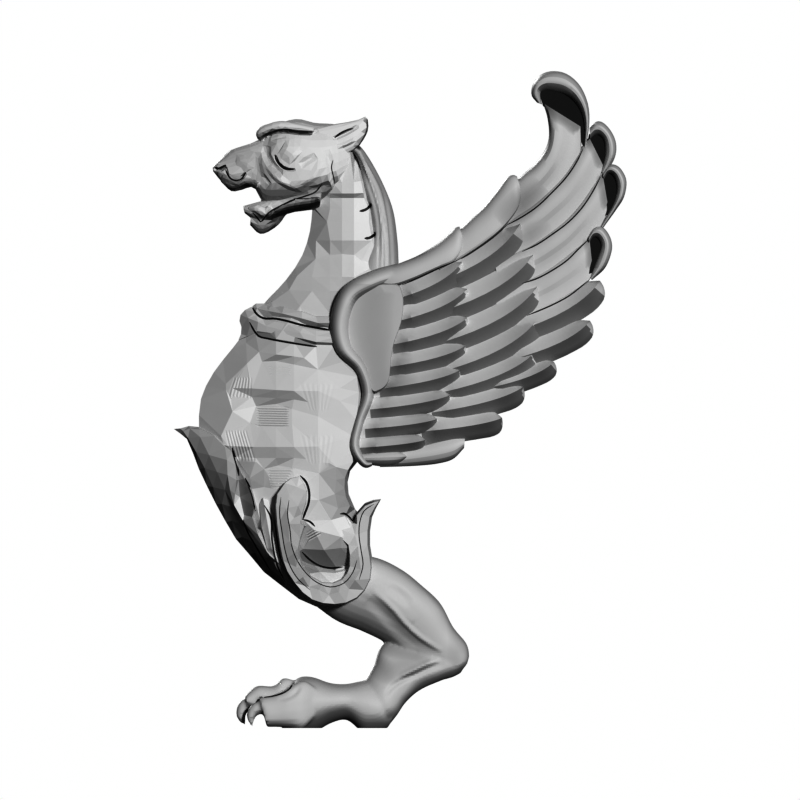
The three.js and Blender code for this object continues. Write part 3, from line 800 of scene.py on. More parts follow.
@dataclass
class Mane:
    """The ridge of combed locks down the back of the neck.

    Attributes:
        depth: Its depth where a station's share is 1.
        grain: The finest form kept in it, in squares.
        stations: Its sections from top to foot, with shares of the depth.
        locks: The lines between the locks.
        nicks: The two nicks in its front edge.
    """

    depth: float = 0.066
    grain: float = 1.75
    stations: Points = (
        (-30, 578, -22, 587, 0.5), (-19, 573, -13, 581, 0.72), (-14, 558, -2, 565, 0.9),
        (-13, 538, 10, 542, 1), (-7, 516, 19, 518, 1.06), (-5, 492, 23, 492, 1.12),
        (-14, 466, 24.5, 468, 1.12), (-18, 436, 24, 440, 1.1), (-18, 410, 22, 413, 1.1),
    )
    locks: tuple = (
        ((-15, 576), (-6, 558), (3, 538), (8, 518), (11, 493), (12, 466), (11, 438)),
        ((-16, 570), (-8, 550), (-1, 530), (4, 508), (5, 483), (4, 438)),
        ((-13, 578), (-1, 558), (9, 538), (14, 516), (17, 490), (18, 456)),
    )
    nicks: tuple = (((-15, 516), (-9, 518), (-3, 524)), ((-11, 489), (-5, 490), (1, 495)))

    def build(self) -> Shell:
        """Shapes the ridge and combs its locks.

        Returns:
            The closed skin.
        """
        strokes = [Stroke(line, 2.6, -1.3, ends=0.1) for line in self.locks]
        strokes += [Stroke(line, 2.2, -2.5, ends=0.1) for line in self.nicks]
        ridge = fused([limb(deepened(self.stations, self.depth), 30, 28, 2.1)], self.grain, 2)
        # Painted shade: the mane is painted a shade darker all over.
        ridge.finish = Finish.PAINTED_DIMMER
        return chiselled(ridge, strokes, 0.2)


@dataclass
class Head:
    """The snarling big cat's head with its open jaws and pricked ears.

    Attributes:
        depth: Its greatest depth.
        ear_depth: The thickness of an ear.
        ear_out: How far an ear stands from the middle, as a share of the depth.
        grain: The finest form kept in it, in squares.
        facets: About how many facets it is cut in.
        skull: The sections of the skull from the nose back, with shares of the depth.
        jaw: The sections of the jaw from its hinge forward.
        chin: The sections of the chin's tuft.
        ear: The sections of an ear, with shares of its thickness.
        folds: The brow, the upper lip and the lower lip, as rows of x, z, share of the depth and radius.
        creases: The creases, folds and swellings of the face.
    """

    depth: float = 0.078
    ear_depth: float = 0.009
    ear_out: float = 0.33
    grain: float = 1.05
    facets: int = 4200
    skull: Points = (
        (-161.5, 561, -161, 557, 0.16), (-154, 569, -153, 547, 0.34), (-144, 577.5, -143, 537, 0.42),
        (-133, 581.5, -133, 538, 0.46), (-121, 585.5, -120, 540.5, 0.52), (-108, 593, -110, 524, 0.66),
        (-95, 604, -95, 520, 0.86), (-77, 609, -77, 521, 0.98), (-59, 605, -59, 525, 1),
        (-41, 604, -41, 534, 0.92), (-24, 600, -24, 550, 0.66),
    )
    jaw: Points = (
        (-52, 546, -54, 521, 0.82), (-60, 544, -61, 518.5, 0.82), (-82, 542, -82, 515.5, 0.7),
        (-98, 536, -97, 510, 0.56), (-111, 528, -109, 507, 0.46), (-122, 524.5, -122, 510, 0.4),
        (-131, 522, -129.5, 515, 0.26),
    )
    chin: Points = (
        (-84, 528, -87, 515, 0.2), (-97, 522, -97, 502, 0.26), (-112, 520, -113, 494, 0.28),
        (-122, 520, -124, 503, 0.2),
    )
    folds: tuple = (
        ((-114, 588.5, 0.16, 2.5), (-112.5, 595, 0.2, 5.5), (-104, 599, 0.27, 5.5), (-90, 602, 0.33, 5),
         (-60, 598, 0.38, 3)),
        ((-155, 555, 0.14, 2.5), (-148, 548, 0.2, 5), (-140, 544, 0.21, 5), (-128, 547, 0.22, 3.5),
         (-116, 542, 0.27, 3)),
        ((-124, 520, 0.15, 3), (-116, 519, 0.22, 4.5), (-108, 515, 0.24, 4.5), (-104, 520, 0.26, 3.5)),
    )
    ear: Points = (
        (-58, 600, -34, 572, 1), (-40, 604, -18, 579, 1.1), (-27, 606, -9.5, 589.5, 0.9),
        (-15, 609, -5.5, 599.5, 0.6), (-8.5, 611.8, -6, 608.5, 0.2),
    )
    creases: tuple = (
        Stroke(((-102, 595), (-96, 596.5), (-88, 596.7), (-79, 595.5), (-62, 594.5)), 2.6, -2.4, ends=0.3),
        Stroke(((-103, 588), (-97, 590), (-88, 591)), 1.8, -1),
        Stroke(((-106, 582), (-108, 575), (-105, 567), (-98, 559), (-91, 554)), 5.5, -3),
        Stroke(((-92, 581), (-84, 576), (-77, 570)), 12, 3, ends=0.3),
        Stroke(((-99, 572.5), (-96, 565), (-88, 559), (-79, 558)), 2.1, -3.2, ends=0.15),
        Stroke(((-74, 562), (-66, 568), (-58, 572)), 5, -1.8),
        Stroke(((-106, 562), (-98, 552), (-83, 542), (-71, 539)), 5, 2.2),
        Stroke(((-116, 576), (-117, 563), (-113, 551), (-106, 541)), 6, -1.8),
        Stroke(((-112, 553), (-104, 543)), 3, -1.2),
        Stroke(((-160, 559.5), (-154, 558), (-148, 561.5)), 2.2, -4, ends=0.1),
        Stroke(((-148, 560), (-147, 554), (-142, 549), (-136, 548), (-128, 554.5)), 2.2, -3, ends=0.12),
        Stroke(((-152, 552), (-144, 548), (-134, 544)), 3.4, 1.6),
        Stroke(((-138, 568), (-130, 566), (-124, 558)), 7, 1.6),
        Stroke(((-66, 538), (-56, 539), (-44, 544)), 5, -2.4),
        Stroke(((-83, 542), (-65, 549), (-56, 558), (-52, 568)), 6, 1.5),
        Stroke(((-48, 578), (-44, 565), (-41, 550), (-36, 536)), 5, -1.5),
        Stroke(((-41, 589), (-33, 592.5), (-24, 597), (-16, 602)), 2.8, -2, ends=0.2),
        Stroke(((-37, 581), (-28, 584), (-19, 589)), 3, 1.5),
        Stroke(((-54, 530), (-68.5, 529.5), (-81, 528.5), (-94.5, 520.5), (-105, 512)), 9, -5, Cut.STEP, 0.1),
    )

    def fold(self, line: Points, side: int) -> Shell:
        """Lays a rounded fold of flesh on one side of the head."""
        wide = squares(self.depth)
        return roll([(x, side * share * wide, z, r) for x, z, share, r in line], 20, 12)

    def ear_on(self, side: int) -> Shell:
        """Pricks one ear, on the near side for -1 and on the far side for 1."""
        return limb(deepened(self.ear, self.ear_depth), 18, 16, 2, side * self.ear_out * squares(self.depth))

    def build(self) -> Shell:
        """Melts the forms of the head together and cuts its features.

        Returns:
            The closed skin.
        """
        bars = [limb(deepened(rows, self.depth), 30, 30) for rows in (self.skull, self.jaw)]
        bars.append(limb(deepened(self.chin, self.depth), 16, 20, 2.2))
        for side in SIDES:
            bars += [self.fold(line, side) for line in self.folds]
            bars.append(self.ear_on(side))
        return hewn(chiselled(fused(bars, self.grain, 3), self.creases), self.facets)


@dataclass
class Leg:
    """The bent leg with its long hock and one clawed paw.

    Attributes:
        thigh_depth: The depth of the thigh.
        hock_depth: The depth of the bone from hock to heel.
        heel_depth: The depth of the heel.
        paw_depth: The depth of the paw over its toes.
        toe_depth: The depth of one toe.
        grain: The finest form kept in it, in squares.
        thigh: The thigh's sections, with shares of its depth.
        toes: The outer and the inner toe, as rows of top x and z, and bottom x and z.
        claws: The outer and the inner claw, as rows of x, z and radius.
        toe_places: Where each toe's middle lies, as shares of the room between the two outermost.
        sinews: The sinews and creases.
    """

    thigh_depth: float = 0.07
    hock_depth: float = 0.038
    heel_depth: float = 0.058
    paw_depth: float = 0.092
    toe_depth: float = 0.025
    grain: float = 1.9
    thigh: Points = (
        (-29, 175, -61, 124, 0.95), (3, 170, -37, 107, 1), (28, 158, -11, 96.5, 1), (47, 143, 14, 84, 0.92),
        (66, 125, 28, 73, 0.8), (79, 101, 46, 60, 0.64), (92, 85, 64, 49, 0.54), (95, 73, 76, 50, 0.48),
        (93, 64, 85, 54, 0.27),
    )
    toes: tuple = (
        ((-54, 36, -56, 16), (-69, 47, -71, -1), (-83, 43, -84, 0), (-98, 34, -96, 1), (-115, 30.5, -107, 1)),
        ((-74, 46, -78, 6), (-90, 50, -90, 8), (-101, 42, -101, 11), (-117, 42, -115, 16),
         (-129, 33, -127, 22)),
    )
    claws: tuple = (
        ((-106, 19, 5), (-114, 20, 6.5), (-119.5, 18, 6), (-123, 11, 4.4), (-122, 1, 0.7)),
        ((-116, 25, 6), (-124, 24, 7), (-130, 21.5, 6.4), (-133, 14, 5), (-131.5, 8, 3.2), (-129, 3, 0.7)),
    )
    toe_places: tuple = (1 / 2, 1 / 6)
    sinews: tuple = (
        Stroke(((-2, 138), (9, 129), (20, 118), (31, 105), (46, 91), (59, 82), (68, 77)), 4, 1.5, ends=0.35),
        Stroke(((-6, 128), (8, 116), (22, 100), (36, 87), (52, 78), (63, 73)), 9, -1.2, ends=0.3),
        Stroke(((-14, 143), (4, 134), (22, 120), (38, 104)), 12, 1.2, ends=0.4),
        Stroke(((70, 64), (56, 59.5), (41, 52.5), (27, 47), (18, 41), (12, 33)), 4, -1.8, ends=0.3),
        Stroke(((66, 69), (54, 65), (40, 58.5), (26, 52)), 3.6, 1.6, ends=0.3),
        Stroke(((15, 142), (26, 134), (37, 124)), 8, -1.4, ends=0.4),
        Stroke(((-74, 42), (-78, 36), (-86, 31), (-96, 29)), 3.5, -1.5, ends=0.3),
    )

    def shank(self) -> Points:
        """Lists the sections of the bone from hock to heel.

        Returns:
            Its sections, with shares of the hock's depth.
        """
        heel = self.heel_depth / self.hock_depth
        return (
            (72, 88, 87, 55, 0.9), (46, 88, 66, 47, 1), (11, 86, 46, 38, 1.1),
            (0, 64, 32, 26, 0.84 * heel), (-11, 46, 23, 13, 0.95 * heel),
            (-22, 34, 15, 3, 0.82 * heel),
        )

    def foot(self) -> Points:
        """Lists the sections of the foot from the heel forward.

        Returns:
            Its sections, with shares of the paw's depth.
        """
        heel = self.heel_depth / self.paw_depth
        return (
            (23, 20, 14, 0.5, 0.5 * heel), (12, 38, 7, -3, 0.9 * heel), (1, 44, -3, -5, heel),
            (-10, 47, -12, -4, 1.02 * heel), (-28, 44, -27, 8, 1.02 * heel),
            (-44, 45, -43, 5, 0.74), (-62, 51, -62, -5, 0.86), (-76, 50, -80, -4, 0.94),
            (-88, 38, -93, 0, 0.9),
        )

    def toe(self, line: Points, y: float) -> Shell:
        """Shapes one toe.

        Args:
            line: Its sections, as top x and z, and bottom x and z.
            y: The place of its middle.

        Returns:
            The closed skin.
        """
        deep = squares(self.toe_depth)
        grow = smooth([(0, 0.1), (1, 0.8), (2, 1)])
        return limb([(*row, deep * float(grow(i))) for i, row in enumerate(line)], 20, 18, middle=y)

    def build(self) -> Shell:
        """Melts the leg together, cuts its sinews, and trims it level at the floor.

        Returns:
            The closed skin.
        """
        bars = []
        parts = ((self.thigh, self.thigh_depth, 0.36), (self.shank(), self.hock_depth, -0.2),
                 (self.foot(), self.paw_depth, 0.1))
        for rows, depth, crest in parts:
            bars.append(limb(deepened(rows, depth), 44, 36, 2, 0, crest))
        apart = squares(self.paw_depth - self.toe_depth)
        for side in SIDES:
            for toe, claw, place in zip(self.toes, self.claws, self.toe_places):
                bars.append(self.toe(toe, side * apart * place))
                bars.append(roll([(x, side * apart * place, z, r) for x, z, r in claw], 18, 12))
        leg = chiselled(fused(bars, self.grain, 3), self.sinews)
        leg.points[:, 2] = np.maximum(leg.points[:, 2], 0)
        # Painted shade: the leg is painted a shade darker all over.
        leg.finish = Finish.PAINTED_DIMMER
        return leg


@dataclass
class Leaves:
    """The cup of acanthus leaves that wraps the belly.

    Attributes:
        edge: Their depth at the outline, in squares.
        outlines: The outlines of the front leaf, the scrolled side leaf, the lobe between them and the cup.
        rows: The lines that the facets of each meet along.
    """

    edge: float = 0.8
    outlines: tuple = (
        ((-200, 299), (-193, 294), (-187, 289), (-184, 282), (-181, 275), (-175, 259), (-167, 242),
         (-158, 224), (-148, 206), (-138, 189), (-125, 174), (-110, 156), (-92, 142), (-75, 129),
         (-58, 121.5), (-39, 120.7), (-27, 122.5), (-29, 138), (-74, 168), (-96, 188), (-106, 208),
         (-116, 208), (-115.5, 221), (-120, 237), (-127.5, 251), (-135, 267), (-141, 281), (-152, 288),
         (-164, 297), (-175, 301), (-185, 302), (-194, 299.5)),
        ((-74, 254), (-83, 252), (-91, 247), (-99, 235), (-101, 222), (-100.5, 202), (-98, 181), (-95, 166),
         (-90, 155), (-82, 142), (-73, 132), (-63, 125.5), (-52, 122), (-39, 121), (-27, 123), (-16, 128),
         (-8, 136), (-2, 148), (-0.5, 161), (-2, 171), (-4, 183), (-4, 197), (-2, 211), (2, 220), (7, 229),
         (-1, 228), (-9, 225), (-17, 216), (-21, 207), (-26, 213), (-34, 215), (-35.5, 208), (-38, 199),
         (-36, 190), (-28, 182), (-27, 172), (-27, 162), (-30, 157), (-35, 151), (-42, 148), (-50, 148),
         (-61, 154), (-69, 163), (-72, 173), (-72, 181), (-68, 193), (-60, 202), (-64, 207), (-70, 209),
         (-68, 215), (-65, 227), (-64, 237), (-68, 247)),
        ((-117, 216), (-116, 228), (-112, 233), (-106, 232), (-101, 223), (-97, 198), (-93, 172), (-85, 153),
         (-73, 136), (-66, 126), (-75, 131), (-88, 142), (-100, 160), (-109, 180), (-114, 198)),
        ((-112, 168), (-92, 148), (-75, 134), (-58, 126), (-39, 125), (-24, 128), (-12, 138), (-8, 156),
         (-10, 170), (-24, 168), (-44, 166), (-66, 170), (-84, 180), (-104, 183)),
    )
    rows: tuple = (
        (
            ((-191, 297, 3), (-186, 290, 4), (-178, 276, 7.5), (-169.5, 260, 8.5), (-161, 241, 9),
             (-152, 224, 9.5), (-142, 207, 10), (-132, 191, 11), (-119, 175, 12), (-104, 159, 13),
             (-86, 145, 14), (-68, 131, 14)),
            ((-184, 299.5, 5), (-174, 291, 13), (-165, 273, 18), (-157, 256, 21), (-149, 238, 23),
             (-142, 221, 24), (-133, 204, 25), (-122, 187, 27), (-108, 170, 30), (-91, 155, 33),
             (-72, 141, 34)),
            ((-175, 298.5, 9), (-160, 292, 19), (-149, 281, 27), (-147, 268, 30), (-146.5, 253, 31),
             (-144, 238, 32), (-140, 223, 33), (-131, 207, 35), (-119, 191, 37), (-107, 176, 40),
             (-93, 162, 43), (-76, 150, 45)),
            ((-149, 281, 27), (-142, 275, 32.5), (-138.5, 263, 35), (-137.5, 248, 36), (-139, 234, 35.5),
             (-140, 223, 33)),
            ((-142, 275, 32.5), (-137.2, 263, 28), (-135.5, 248, 27), (-134, 231, 28), (-130, 213, 32),
             (-131, 207, 35)),
            ((-137.2, 263, 28), (-129.5, 249, 36), (-123, 236, 42), (-119.5, 222, 46), (-122, 211, 46),
             (-131, 207, 35)),
            ((-122, 211, 46), (-116, 193, 43), (-104, 172, 44), (-76, 150, 45)),
        ),
        (
            ((-75, 251.5, 55), (-83, 249.5, 54), (-89, 245, 58), (-96.5, 234, 58.5), (-98, 222, 59),
             (-96.5, 202, 59), (-93.5, 181, 58), (-90.5, 167, 57), (-86.5, 156.5, 57), (-79, 145, 57.5),
             (-71, 135.5, 57.5), (-61.5, 128.5, 56), (-51, 125, 54.5), (-39, 124, 53), (-28, 125.5, 51),
             (-17.5, 130.5, 49), (-10, 138, 47), (-4.5, 149, 48), (-3.3, 161, 48), (-4.5, 171, 49),
             (-6.5, 183, 49), (-6.5, 197, 48), (-4.5, 211, 43), (1, 221, 32), (5, 227, 27)),
            ((-75, 251.5, 55), (-77, 241, 61), (-85, 233, 64.5), (-87.5, 220, 65), (-85.5, 204, 67),
             (-84.5, 187, 64.5), (-79.5, 175, 65.5), (-78, 161, 61), (-71, 151, 61.5), (-65, 141, 57),
             (-55, 138, 58.5), (-45, 133, 54), (-35, 136, 56), (-25, 139, 53), (-19, 148, 55.5),
             (-13, 158, 52.5), (-15, 171, 54), (-16, 182, 51), (-19, 193, 51), (-17, 204, 46), (-12, 214, 42),
             (-4, 222, 35), (5, 227, 27)),
            ((-75, 251.5, 55), (-70.5, 245, 58), (-67.5, 237, 59.5), (-68, 226, 60), (-72, 214, 60),
             (-74, 204, 60), (-70, 202, 57), (-74, 190, 55), (-76, 180, 56), (-75, 170, 53),
             (-71.5, 160.5, 52), (-63, 151, 50), (-52, 145, 49), (-41, 144.5, 48), (-32, 148, 48),
             (-26.5, 155, 48), (-24, 162, 48), (-24, 173, 48), (-25.5, 183, 48.5), (-33, 190, 48),
             (-35, 199, 48), (-33, 208, 47), (-31, 212, 45), (-26, 210, 44), (-22.5, 205, 43), (-17, 213, 41),
             (-9, 222, 39), (-1, 225.5, 32), (5, 227, 27)),
            ((-77, 241, 61), (-71, 232, 63), (-76, 222, 66), (-80, 210, 64)),
            ((-85, 233, 64.5), (-71, 232, 63), (-67.5, 237, 59.5)),
        ),
        (
            ((-114.5, 224, 34), (-112, 200, 37), (-107, 180, 38), (-98, 161, 38), (-87, 144, 35),
             (-75, 133, 28)),
            ((-111, 230, 39), (-108, 213, 43.5), (-105, 196, 44), (-102, 179, 44), (-95, 164, 43),
             (-85, 148, 40), (-74, 134, 30)),
            ((-105.5, 228, 37), (-101.5, 213, 39), (-99, 198, 40), (-95, 172, 41), (-86.5, 153, 40),
             (-73, 135, 32)),
        ),
        (
            ((-89, 153, 16), (-74, 138, 15), (-56, 128, 14), (-39, 126.5, 14), (-24, 130, 14),
             (-13, 139, 14)),
            ((-89, 168, 30), (-74, 153, 32), (-56, 142, 33), (-39, 141, 33), (-24, 145, 33), (-14, 154, 32)),
            ((-89, 176, 34), (-69, 162, 38), (-54, 156, 37), (-39, 155, 36), (-26, 158, 36)),
        ),
    )

    def build(self) -> list[Shell]:
        """Cuts all the leaves."""
        return [faceted(outline, rows, self.edge) for outline, rows in zip(self.outlines, self.rows)]


class Profile(Enum):
    """The shape across a strip, as rows of place from its upper to its lower edge and share of its height."""

    COVERT = ((0, -0.3), (0.015, 0.25), (0.06, 0.46), (0.14, 0.66), (0.25, 0.83), (0.4, 0.95), (0.55, 1),
              (0.75, 1), (0.9, 0.97), (0.96, 0.9), (0.99, 0.6), (1, -0.3))
    CHANNEL = ((0, -0.5), (0.03, 0.2), (0.1, 0.66), (0.22, 0.95), (0.36, 1), (0.5, 0.86), (0.64, 0.6),
               (0.78, 0.4), (0.9, 0.34), (0.97, 0.34), (0.99, 0.2), (1, -0.5))
    LIP = ((0, -0.4), (0.04, 0.3), (0.14, 0.7), (0.28, 0.94), (0.42, 1), (0.58, 0.95), (0.75, 0.72),
           (0.9, 0.4), (0.97, 0.1), (1, -0.35))
    HOLLOW = ((0, -0.6), (0.01, 0.4), (0.3, 0.4), (0.7, 0.4), (0.99, 0.4), (1, -0.6))
    BACKING = ((0.02, -0.6), (0.03, 0.2), (0.97, 0.2), (0.98, -0.6))
    ROUNDED = ((0, -0.3), (0.04, 0.5), (0.2, 0.85), (0.4, 1), (0.6, 0.9), (0.8, 0.6), (0.93, 0.2), (1, -0.4))


@dataclass
class Wing:
    """One raised wing: rolled rim, coverts, three rows of feathers and four curled primaries.

    Attributes:
        root: How far its foremost part stands from the middle.
        flare: How much further its tip stands.
        thick: How far its plain inner face lies behind its middle.
        feather: How high a feather's ridge stands.
        lift: How much higher each row lies than the one under it.
        foremost: The x of its foremost part, in squares, as all that follows.
        hindmost: The x of its tip.
        plate_front: The x from which the shoulder plate rises.
        plate_reach: The length over which it rises.
        plate_heights: Its height at the front and at the end of that length.
        root_middle: The x and z of the block that ties the wing to the breast.
        root_halves: Half the block's length and height.
        rim: The rolled rim, as rows of x, z, half-width and height.
        plate: The outline of the smooth plate behind the rim.
        coverts: The two long coverts; these and the next tables are rows for between().
        primaries: The four long outer feathers.
        curls: Their rolled tips.
        hollows: The hollows under the rolled tips, painted black as shade, without heights.
        lowest: The plain strip under the rows.
        lobe: The round lobe at its front.
        counts: How many feathers each row has, outermost row first.
        widths: Each row's first and last feather width.
        roots: The line that each row's roots follow.
        tips: The line that each row's tips follow.
    """

    root: float = 0.059
    flare: float = 0.018
    thick: float = 0.004
    feather: float = 0.0155
    lift: float = 0.0022
    foremost: float = -4
    hindmost: float = 246
    plate_front: float = -29
    plate_reach: float = 55
    plate_heights: tuple[float, float] = (5, 17)
    root_middle: tuple[float, float] = (1, 386)
    root_halves: tuple[float, float] = (19, 38)
    rim: Points = ((-2, 264, 2, 8), (-10, 265, 4, 12), (-19.5, 282, 5, 13), (-15, 306, 5, 13),
                   (-6, 334, 6, 14), (-13, 360, 7, 16), (-30, 380, 9, 17), (-34, 406, 10, 17.5),
                   (-24, 433, 10.5, 17), (0, 447, 10.5, 16), (26, 455, 10, 14))
    plate: Points = ((-28, 422), (-18, 436), (-2, 443), (22, 444), (28, 436), (29.5, 424), (27, 405),
                     (21, 388), (17.5, 373), (15.5, 352), (12, 342), (5, 337), (-2, 337), (-8, 356),
                     (-24, 376), (-30, 398))
    coverts: tuple[Points, ...] = (
        ((-2, 457, 0, 445, 11), (14, 461, 20, 442.5, 15), (30, 466.5, 38, 448, 16.5),
         (46, 473.5, 54, 455, 16.5), (62, 483.5, 68, 461, 16.5), (74, 493.5, 79, 465.5, 16),
         (81, 500, 87, 476, 14.5), (85.5, 501.5, 89, 488, 11)),
        ((64, 482, 66, 458, 11), (81, 494, 85, 468, 12), (97, 509, 101, 478, 13), (110, 521, 115, 488, 13),
         (123, 537, 126, 497, 12.5), (133, 550, 137, 509, 12), (139, 553, 145, 522, 11),
         (143, 551.5, 147.5, 536, 8)),
    )
    primaries: tuple[Points, ...] = (
        ((126, 523, 118, 497, 5), (138, 542, 133, 503.5, 7), (148, 553, 147, 511, 9),
         (161, 564.5, 163, 522, 10), (171, 578, 178, 536, 10.5), (175, 592, 192, 551, 10.5),
         (173.5, 610, 206, 573, 9), (169, 625, 207.5, 601, 6.5)),
        ((121, 496, 126, 466, 4), (141, 513, 148, 476.5, 6), (159, 525, 166, 485.5, 8),
         (176, 540, 182, 497, 9), (190, 555, 197, 509, 9), (201, 571, 211, 525, 9), (208, 582, 221, 540, 8),
         (215, 591, 230, 561, 6)),
        ((121, 464, 126, 435, 3.5), (142, 476, 148, 444.5, 5.5), (160, 486, 163, 450, 7),
         (177, 498, 178, 458, 8), (193, 511, 194, 469, 8), (207, 527, 207, 481, 8), (219, 545, 223, 495, 7),
         (228, 558, 235, 517, 5)),
        ((121, 432, 126, 402, 2.5), (142, 445, 148, 410.5, 4.5), (159, 452, 163, 417, 6),
         (175, 461, 178, 423.5, 7), (190, 472, 192, 431, 7), (201, 481, 204, 438.5, 7),
         (208, 487, 214, 445.5, 6), (215, 494, 219, 457, 4)),
    )
    curls: tuple[Points, ...] = (
        ((163, 625.5, 168, 623.5, 5), (157.5, 633, 167, 629, 9), (159, 644, 167, 635.5, 12),
         (167, 653.5, 172, 637.5, 13.5), (179, 657, 179, 636, 14.5), (193, 654, 189, 633.5, 15),
         (206, 642.5, 199, 627, 15), (214, 624, 207, 616, 13), (215.3, 604, 210.5, 601, 10),
         (212, 581, 210, 581, 5)),
        ((215.5, 600, 216, 588, 8), (222, 606.2, 220, 592, 11), (229, 605.4, 225, 592, 12.5),
         (237, 597, 229.5, 587, 12.5), (242, 585, 230.5, 579, 12), (241, 571, 230, 570, 10),
         (232, 554, 226.5, 556, 5)),
        ((228.5, 555, 230, 548, 8), (234, 562, 233, 553.5, 11), (240, 563.5, 237, 553.5, 12.5),
         (247, 559, 241, 548.5, 12.5), (252.5, 547, 242.5, 540, 12), (250, 531, 241, 531, 11),
         (242, 518, 237.5, 521, 8), (229, 500, 227, 502, 4)),
        ((214.5, 492, 215, 484, 8), (220, 500, 218, 489.5, 10.5), (227, 501.7, 222, 490, 12),
         (233, 496.5, 225.5, 486.5, 12), (237.5, 487, 226.5, 481, 12), (237.5, 476, 224, 472, 10.5),
         (231, 460, 220, 462, 8), (218, 448, 216, 450, 4)),
    )
    hollows: tuple[Points, ...] = (
        ((165, 636, 169, 622), (170, 641, 173, 619), (178, 640, 180, 615.5), (190, 637, 188, 611),
         (201, 629, 196, 607), (209, 616, 203, 603), (212, 600, 205, 594), (212, 583, 209, 581)),
        ((215, 594, 213, 584), (225, 595, 218, 579), (232, 586, 221, 574), (232.5, 576, 223, 568),
         (231, 568, 225, 563), (229, 560, 226.5, 558)),
        ((229, 556, 226.5, 550), (238, 556, 227.5, 541), (244, 547, 229.5, 533), (244, 536, 232, 525),
         (240.5, 525, 233, 519), (235, 514, 231, 512)),
        ((214.5, 491, 212.5, 484), (222, 493, 215, 478), (228, 485, 216, 472), (227, 474, 215.5, 466),
         (222.5, 464, 214.5, 460), (218, 455, 214, 454)),
    )
    lowest: Points = ((6, 276, 6, 261, 4), (26, 278, 26, 261.5, 5), (46, 282, 46, 262.5, 6),
                      (66, 287, 64, 264.5, 6.5), (81, 290, 79, 269, 6), (91, 290, 90, 280, 4))
    lobe: Points = ((-12, 274, -8, 264, 9), (2, 276, 4, 262, 9), (14, 277, 14, 261.5, 9.5),
                    (24, 276.5, 23, 263, 9.5), (30, 274.5, 29, 266.5, 9), (32.5, 272, 32.5, 270.5, 7))
    counts: tuple[int, ...] = (3, 7, 8)
    widths: tuple[tuple[float, float], ...] = ((27, 21), (28, 24), (25, 16))
    roots: tuple[Points, ...] = (
        ((131, 394), (126, 366), (108, 339)),
        ((56, 444), (56, 398), (58, 354), (54, 324), (41, 296)),
        ((18, 428), (13, 388), (3, 349), (-12, 313), (-17, 280)),
    )
    tips: tuple[Points, ...] = (
        ((226, 447), (216, 407), (180, 366)),
        ((146, 504), (159, 473), (163, 441), (163, 408), (160, 375), (149, 341), (128, 310)),
        ((88, 466), (93, 439), (93, 410), (91, 382), (86, 358), (76, 333), (63, 309), (51, 288)),
    )

    def stand(self, x: np.ndarray) -> np.ndarray:
        """Gives the wing's distance from the middle at each x."""
        share = (np.asarray(x) - self.foremost) / (self.hindmost - self.foremost)
        return squares(self.root + self.flare * share)

    def strip(self, grid: np.ndarray) -> Shell:
        """Makes a closed slab with a shaped outer face and a plain inner face.

        Args:
            grid: Rows across the strip, along its length, of x, z and height over the wing's middle.

        Returns:
            The closed skin of the near wing's strip.
        """
        grid = np.asarray(grid, float)
        outer = np.stack((grid[..., 0], -(self.stand(grid[..., 0]) + grid[..., 2]), grid[..., 1]), -1)
        inner = outer[:, ::-1].copy()
        inner[..., 1] = -(self.stand(inner[..., 0]) - squares(self.thick))
        return loft(np.concatenate((outer, inner), axis=1))

    def band(self, stations: Points, profile: Points, rings: int) -> Shell:
        """Makes a strip along a line with the same profile across it all the way.

        Args:
            stations: Rows of x, z, half-width and height.
            profile: Rows of place across, -1 to 1 upper edge to lower edge, and share of the height.
            rings: Sections along the strip.

        Returns:
            The closed skin.
        """
        rows = spread(stations, rings)
        down = athwart(headings(rows[:, :2]))
        across = np.array(profile)
        grid = np.empty((rings, len(across), 3))
        for i in range(rings):
            grid[i, :, :2] = rows[i, :2] + down[i] * across[:, :1] * rows[i, 2]
            grid[i, :, 2] = rows[i, 3] * across[:, 1]
        return self.strip(grid)

    def feather_at(self, root: np.ndarray, tip: np.ndarray, wide: float, lift: float) -> Shell:
        """Shapes one feather with a crisp ridge, a pale upper plane and a steep lower plane.

        Args:
            root: Where its ridge starts.
            tip: Where its ridge ends.
            wide: Its width at the root.
            lift: How much higher it lies than the lowest row.

        Returns:
            The closed skin.
        """
        bend = root + (tip - root) * (0.75, 0.36)
        places = np.array((0, 0.05, 0.1, 0.15, 0.2, 0.3, 0.42, 0.54, 0.64, 0.72, 0.78, 0.83, 0.87, 0.9, 0.925,
                           0.945, 0.962, 0.976, 0.988, 1))
        above = smooth([(0, 0.6), (0.6, 0.56), (0.8, 0.47), (0.9, 0.34), (0.96, 0.17), (1, 0.02)])(places)
        below = smooth([(0, 0.58), (0.6, 0.6), (0.8, 0.6), (0.88, 0.53), (0.95, 0.33), (0.985, 0.14),
                        (1, 0.01)])(places)
        t = places[:, None]
        line = (1 - t) ** 2 * root + 2 * t * (1 - t) * bend + t ** 2 * tip
        down = athwart(headings(line))
        high = squares(self.feather) * smooth([(0, 0.7), (0.2, 0.9), (0.5, 1), (0.9, 0.96), (1, 0.5)])(places)
        profile = np.array(((-1, -0.3), (-0.97, -0.1), (-0.6, 0.32), (-0.3, 0.68), (0, 1), (0.3, 0.6),
                            (0.6, 0.2), (0.97, -0.2), (1, -0.35)))
        shown = np.interp(places, (0, 0.08, 0.2), (0, 0.35, 1))
        sunk = squares(self.thick) - 0.7
        grid = np.empty((len(places), len(profile), 3))
        for i in range(len(places)):
            reach = np.where(profile[:, 0] < 0, above[i], below[i]) * wide
            grid[i, :, :2] = line[i] + down[i] * (profile[:, 0] * reach)[:, None]
            grid[i, :, 2] = (squares(lift + self.thick) + high[i] * profile[:, 1]) * shown[i] - sunk
        return self.strip(grid)

